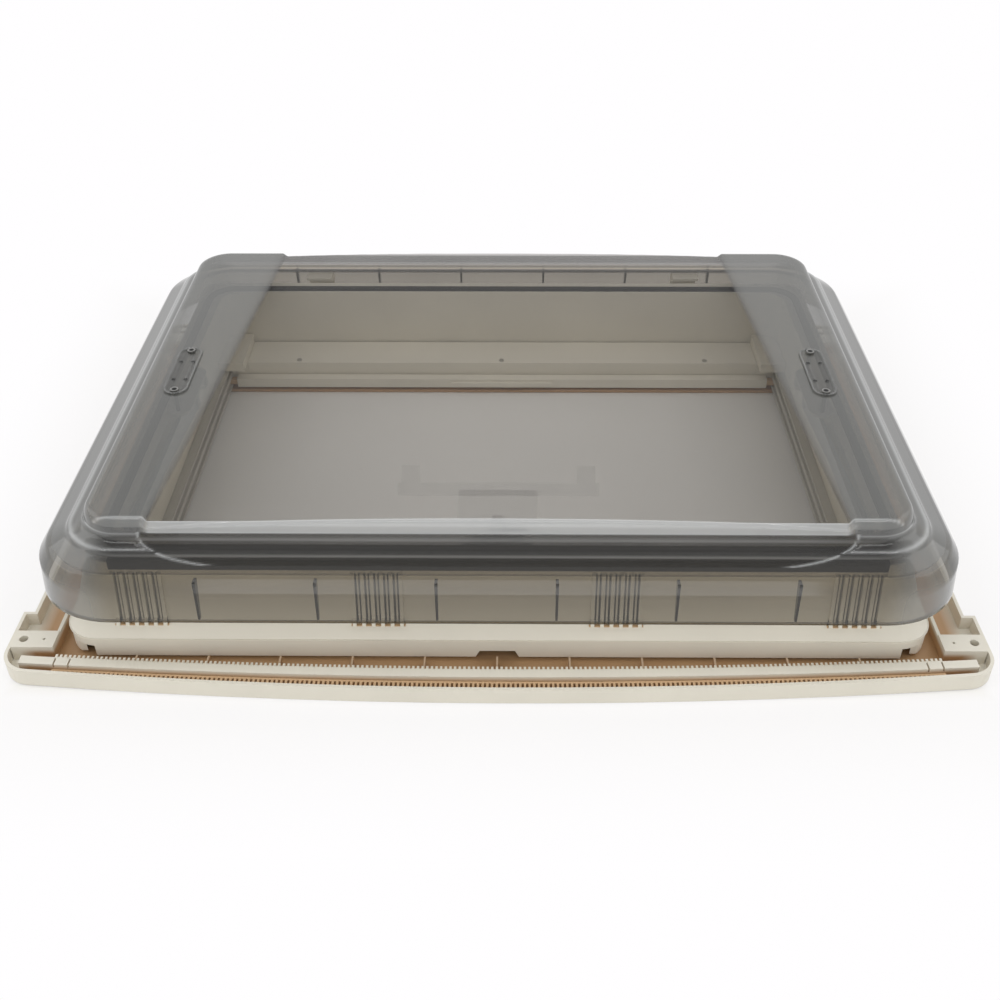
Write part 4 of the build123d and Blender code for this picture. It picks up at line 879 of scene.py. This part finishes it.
class ROOFVENT_OT_seals(bpy.types.Operator):
    """Bulb seal on the upstand, vent strip along the front and foam gasket under the flange"""
    bl_idname = "roofvent.seals"
    bl_label = "Seals and gasket"

    def execute(self, context):
        low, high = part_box("dome_seal")
        tall = high[2] - low[2]
        # Foot with two lips, and a bulb on it
        section = [(0.4, 0.0), (10.4, 0.0), (10.8, 0.1), (10.8, 0.24), (9.4, 0.32), (9.2, 0.55),
                   (8.2, 0.82), (6.6, 0.97), (5.4, 1.0), (4.2, 0.97), (2.6, 0.82), (1.6, 0.55),
                   (1.5, 0.32), (0.2, 0.24), (0.2, 0.1)]
        points, faces = sweep_ring([(a * MM * 0.82, low[2] + b * tall) for a, b in section],
                                   high[0] - 9 * MM, high[1] - 11 * MM, 24 * MM)
        new_piece("bulb_seal", points, faces, ["black_rubber"], "root", ["dome_seal"], sharp=50)
        self.vent_strip()
        self.gasket()
        self.vent_teeth()
        return {"FINISHED"}

    def vent_teeth(self):
        """Buttress teeth at the foot of the upstand, below each group of vent slots."""
        ledge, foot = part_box("outer_frame")[0][2] + LEDGE, UPSTAND_FRONT
        tooth = ((1.5, -0.5), (-4.4, -0.5), (-4.4, 0.8), (-3.4, 3.2), (-2.3, 6.0), (1.5, 6.0))
        points, faces, slots = [], [], []
        for share in (-0.881, -0.294, 0.294, 0.881):
            centre = share * RACK_REACH
            # Pad in the tan finish behind the teeth, a hair above the ledge: painted shade in the
            # gaps between them
            a, half = len(points), (TEETH - 1) / 2 * TOOTH_PITCH + 3 * MM
            for x in (centre - half, centre + half):
                points += [(x, foot + 0.5 * MM, ledge + 0.4 * MM),
                           (x, foot - 3.6 * MM, ledge + 0.4 * MM),
                           (x, foot - 3.6 * MM, ledge - 0.5 * MM)]
            faces += [(a, a + 1, a + 4, a + 3), (a + 1, a + 2, a + 5, a + 4)]
            slots += [1, 1]
            for index in range(TEETH):
                x = centre + (index - (TEETH - 1) / 2) * TOOTH_PITCH
                first = len(points)
                points += [(x + half * MM, foot + y * MM, ledge + z * MM)
                           for y, z in tooth for half in (-1.6, 1.6)]
                for k in range(6):
                    a, b = first + 2 * k, first + 2 * ((k + 1) % 6)
                    faces.append((a, a + 1, b + 1, b))
                faces += [tuple(range(first, first + 12, 2)),
                          tuple(range(first + 11, first, -2))]
                slots += [0] * 8
        new_piece("vent_teeth", points, faces, ["cream_plastic", "shaded_plastic"], "root", (),
                  slots)

    def vent_strip(self):
        """Extruded strip with a ribbed top and a lip over the upstand's front edge."""
        low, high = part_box("front_vent_strip")
        depth, tall = high[1] - low[1], high[2] - low[2]
        section = [(0.0, 0.0), (0.22, 0.0), (0.3, 0.3), (0.3, 0.62), (1.0, 0.62), (1.0, 0.93),
                   (0.9, 1.0), (0.78, 0.93), (0.66, 1.0), (0.54, 0.93), (0.42, 1.0),
                   (0.3, 0.93), (0.18, 1.0), (0.05, 0.94), (0.0, 0.8)]
        count, cuts = len(section), 41
        points = [(x, low[1] + a * depth, low[2] + b * tall)
                  for x in np.linspace(low[0], high[0], cuts) for a, b in section]
        faces = [(a, d, c, b) for a, b, c, d in quads(0, cuts, count)]
        faces += [tuple(range(count)), tuple(range(len(points) - 1, len(points) - count - 1, -1))]
        new_piece("vent_strip", points, faces, ["black_rubber"], "root", ["front_vent_strip"])

    def gasket(self):
        """Foam ring, a little fuller in the middle of its faces."""
        low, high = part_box("roof_gasket")
        tall = high[2] - low[2]
        width = high[1] - THROAT_HALF - FOAM_GAP
        section = [(-width, 0.06), (-width * 0.93, 0.0), (-width * 0.5, 0.0), (-0.0012, 0.0),
                   (-0.0003, 0.1), (0.0, 0.5), (-0.0003, 0.9), (-0.0012, 1.0),
                   (-width * 0.5, 1.0), (-width * 0.93, 1.0), (-width, 0.94), (-width - 0.0004, 0.5)]
        points, faces = sweep_ring([(a, low[2] + b * tall) for a, b in section],
                                   high[0], high[1], 27 * MM)
        piece = new_piece("foam_gasket", points, faces, ["black_foam"], "root", ["roof_gasket"])


# Cloths

def hem_faces(rows, wide):
    """Quads round the edge of two like layers of points, each in rows."""
    layer = rows * wide
    edge = [*range(wide), *range(2 * wide - 1, layer, wide),
            *range(layer - 2, layer - wide - 1, -1), *range(layer - 2 * wide, 0, -wide)]
    return [(a, b, b + layer, a + layer) for a, b in zip(edge, edge[1:] + edge[:1])]


def drawn_cloth(node, name, slot, thickness, sign):
    """The run of cloth between the roll and its pull bar: a thin sheet with hemmed sides."""
    low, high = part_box(node)
    rows, columns = 48, 80
    near, far = (high[1], low[1]) if sign > 0 else (low[1], high[1])
    middle = (low[2] + high[2]) / 2
    points = []
    for side in (-0.5, 0.5):
        for j in range(rows + 1):
            y = near + (far - near) * j / rows
            for i in range(columns + 1):
                x = low[0] + (high[0] - low[0]) * i / columns
                # The cloth dips a hair between its guided sides
                dip = 0.00004 * math.cos(math.pi * (i / columns - 0.5))
                points.append((x, y, middle - dip + side * thickness))
    size = rows + 1, columns + 1
    faces = [*quads(0, *size, False), *quads(len(points) // 2, *size, False), *hem_faces(*size)]
    piece = new_piece(name, points, faces, [slot], None, [node], sharp=80)
    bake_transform(piece)


def wound_cloth(node, name, slot, thickness, turns, body):
    """Cloth wound on its tube as one spiral, from the tube out to the roll's full size."""
    low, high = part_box(node)
    radius = (high[2] - low[2]) / 2
    centre = ((low[1] + high[1]) / 2, (low[2] + high[2]) / 2)
    steps = turns * 40
    xs = np.linspace(low[0], high[0], 25)
    points, run = [], 0.0
    for side in (-0.5, 0.5):
        for k in range(steps + 1):
            angle = math.tau * turns * k / steps
            r = TUBE_RADIUS + thickness / 2 + side * thickness
            r += (radius - thickness - TUBE_RADIUS) * k / steps
            y, z = centre[0] + r * math.cos(angle), centre[1] + r * math.sin(angle)
            points += [(x, y, z) for x in xs]
            if k and side > 0:
                run += math.tau * turns / steps * (r - thickness / 2)
    size = steps + 1, len(xs)
    faces = [quad[::-1] for quad in quads(0, *size, False)]
    faces += quads(len(points) // 2, *size, False) + hem_faces(*size)
    piece = new_piece(name, points, faces, [slot], body, [node], sharp=80)


class ROOFVENT_OT_blind_cloth(bpy.types.Operator):
    """Blackout cloth: the wound part on its tube and the run to the pull bar"""
    bl_idname = "roofvent.blind_cloth"
    bl_label = "Blind cloth"

    def execute(self, context):
        sizes = context.scene.vent_cloth
        drawn_cloth("blind_sheet", "blind_cloth_run", "blind_cloth", sizes.blind_thickness,
                    1)
        wound_cloth("blind_roll", "blind_cloth_roll", "blind_cloth", sizes.blind_thickness,
                    sizes.blind_turns, "blind_roller")
        return {"FINISHED"}


class ROOFVENT_OT_insect_screen(bpy.types.Operator):
    """Insect mesh: the wound part on its tube and the run to the pull bar"""
    bl_idname = "roofvent.insect_screen"
    bl_label = "Insect screen"

    def execute(self, context):
        sizes = context.scene.vent_cloth
        drawn_cloth("screen_sheet", "screen_mesh_run", "insect_mesh", sizes.screen_thickness,
                    -1)
        wound_cloth("screen_roll", "screen_mesh_roll", "insect_mesh", sizes.screen_thickness,
                    sizes.screen_turns, "screen_roller")
        return {"FINISHED"}


class ROOFVENT_OT_finishes(bpy.types.Operator):
    """Finishes of the rigid parts that keep the shape of the frame"""
    bl_idname = "roofvent.finishes"
    bl_label = "Finishes"

    def execute(self, context):
        slots = {row["node"]: row["material_slot"] for row in frame["record"]["subparts"]}
        for name, node in frame["nodes"].items():
            if node.hide_render:
                continue
            if name not in slots:
                raise RuntimeError(f"{name} has no material slot")
            made = finish(OWN_FINISH.get(name, slots[name]))
            if not node.material_slots:
                node.data.materials.append(made)
            for slot in node.material_slots:
                slot.material = made
        return {"FINISHED"}


# Stage

class ROOFVENT_OT_stage(bpy.types.Operator):
    """Pale floor, white surroundings, plain studio lamps and the camera"""
    bl_idname = "roofvent.stage"
    bl_label = "Stage"

    def execute(self, context):
        self.floor(context.scene)
        self.surroundings(context.scene)
        self.lamp(context.scene, "overhead lamp", 7.5, (2.4, 0.36), (0, -0.24, 1.7), (0, 0, 0))
        for side, name in ((-1, "left fill"), (1, "right fill")):
            self.lamp(context.scene, name, 3.2, (1.0, 1.6), (side * 1.7, -0.1, 1.0),
                      (0, side * math.radians(58), 0))
        self.lamp(context.scene, "front fill", 4.2, (1.6, 0.8), (0, -2.2, 0.9),
                  (math.radians(68), 0, 0))
        self.camera(context.scene)
        context.scene.view_settings.view_transform = "Standard"
        return {"FINISHED"}

    def pale_rays(self, tree):
        """Rays that see the pale surroundings: camera, mirrored and bent ones."""
        path = add(tree, "LightPath").outputs
        some = add(tree, "Math", links={0: path["Is Camera Ray"], 1: path["Is Glossy Ray"]},
                   operation="MAXIMUM")
        return add(tree, "Math", links={0: some, 1: path["Is Transmission Ray"]},
                   operation="MAXIMUM")

    def paper(self, tree, where):
        """Plain paper under the vent; round it, it is white, with the soft shadow kept."""
        axes = add(tree, "SeparateXYZ", links={"Vector": where}).outputs
        outside = []
        for axis, half in (("X", TRIM_HALF_X), ("Y", TRIM_HALF_Y)):
            span = add(tree, "Math", links={0: axes[axis]}, operation="ABSOLUTE")
            outside.append(add(tree, "Math", {1: half}, {0: span}, operation="SUBTRACT"))
        away = add(tree, "Math", links=dict(enumerate(outside)), operation="MAXIMUM")
        near = add(tree, "MapRange", {"From Min": -25 * MM, "From Max": -5 * MM, "To Max": 0.7},
                   {"Value": away})
        far = add(tree, "MapRange", {"From Min": 0.0, "From Max": 0.16, "To Max": 0.3},
                  {"Value": away}, interpolation_type="SMOOTHSTEP")
        white = add(tree, "Math", links={0: near, 1: far}, operation="ADD")
        share = add(tree, "Math", links={0: white, 1: self.pale_rays(tree)}, operation="MULTIPLY")
        sheet = add(tree, "BsdfDiffuse", {"Color": (*linear("F4F3F0"), 1.0)})
        glow = add(tree, "Emission", {"Color": (*linear(PALE), 1.0)})
        return add(tree, "MixShader", links={0: share, 1: sheet, 2: glow})

    def floor(self, scene):
        """Floor a hair under the vent."""
        mesh = bpy.data.meshes.new("floor")
        side, drop = 9.0, -0.6 * MM
        mesh.from_pydata([(-side, -side, drop), (side, -side, drop), (side, side, drop),
                          (-side, side, drop)], [], [(0, 1, 2, 3)])
        mesh.materials.append(new_material("pale floor", self.paper))
        floor = bpy.data.objects.new("floor", mesh)
        scene.collection.objects.link(floor)

    def surroundings(self, scene):
        """Soft light from all round, seen as white."""
        world = bpy.data.worlds.new("pale surroundings")
        world.use_nodes = True
        tree = world.node_tree
        tree.nodes.clear()
        ambient = add(tree, "Background", {"Color": (*linear("FFFFFF"), 1.0), "Strength": 0.72})
        white = add(tree, "Background", {"Color": (*linear(PALE), 1.0), "Strength": 1.0})
        mix = add(tree, "MixShader", links={0: self.pale_rays(tree), 1: ambient, 2: white})
        add(tree, "OutputWorld", links={"Surface": mix})
        scene.world = world

    def lamp(self, scene, name, power, size, place, turn):
        """A rectangular studio lamp."""
        data = bpy.data.lights.new(name, "AREA")
        data.shape = "RECTANGLE"
        data.size, data.size_y = size
        data.energy = power
        lamp = bpy.data.objects.new(name, data)
        lamp.location = place
        lamp.rotation_euler = turn
        scene.collection.objects.link(lamp)

    def camera(self, scene):
        """Camera in front of the vent, looking down on it."""
        data = bpy.data.cameras.new("camera")
        data.sensor_width = 36.0
        data.lens = 42.61
        data.clip_start, data.clip_end = 0.05, 60.0
        camera = bpy.data.objects.new("camera", data)
        # Its columns are the camera's right, up and back, and its place
        camera.matrix_world = Matrix(((1.0, -0.0033, 0.0092, 0.0115),
                                      (0.0093, 0.5981, -0.8014, -1.0315),
                                      (-0.0029, 0.8014, 0.5981, 0.7388),
                                      (0, 0, 0, 1)))
        scene.collection.objects.link(camera)
        scene.camera = camera


class ROOFVENT_PT_pieces(bpy.types.Panel):
    """Pieces of the roof vent"""
    bl_idname = "ROOFVENT_PT_pieces"
    bl_label = "Roof Vent"
    bl_space_type = "VIEW_3D"
    bl_region_type = "UI"
    bl_category = "Roof Vent"

    def draw(self, context):
        for operator in OPERATORS:
            self.layout.operator(operator.bl_idname)


OPERATORS = (ROOFVENT_OT_stage, ROOFVENT_OT_outer_skin, ROOFVENT_OT_inner_pane,
             ROOFVENT_OT_oval_covers, ROOFVENT_OT_catch, ROOFVENT_OT_seals,
             ROOFVENT_OT_blind_cloth, ROOFVENT_OT_insect_screen, ROOFVENT_OT_finishes)
GROUPS = {"vent_dome": DomeSizes, "vent_cloth": ClothSizes, "vent_colours": VentColours}


def register():
    for group in (*GROUPS.values(), *OPERATORS, ROOFVENT_PT_pieces):
        bpy.utils.register_class(group)
    for name, group in GROUPS.items():
        setattr(bpy.types.Scene, name, PointerProperty(type=group))


def unregister():
    for name in GROUPS:
        delattr(bpy.types.Scene, name)
    for group in reversed((*GROUPS.values(), *OPERATORS, ROOFVENT_PT_pieces)):
        bpy.utils.unregister_class(group)


def main():
    """Builds the stage and the pieces in order."""
    register()
    bpy.ops.roofvent.stage()
    bpy.ops.roofvent.outer_skin()
    bpy.ops.roofvent.inner_pane()
    bpy.ops.roofvent.oval_covers()
    bpy.ops.roofvent.catch()
    bpy.ops.roofvent.seals()
    bpy.ops.roofvent.blind_cloth()
    bpy.ops.roofvent.insect_screen()
    bpy.ops.roofvent.finishes()


if __name__ == "__main__":
    main()
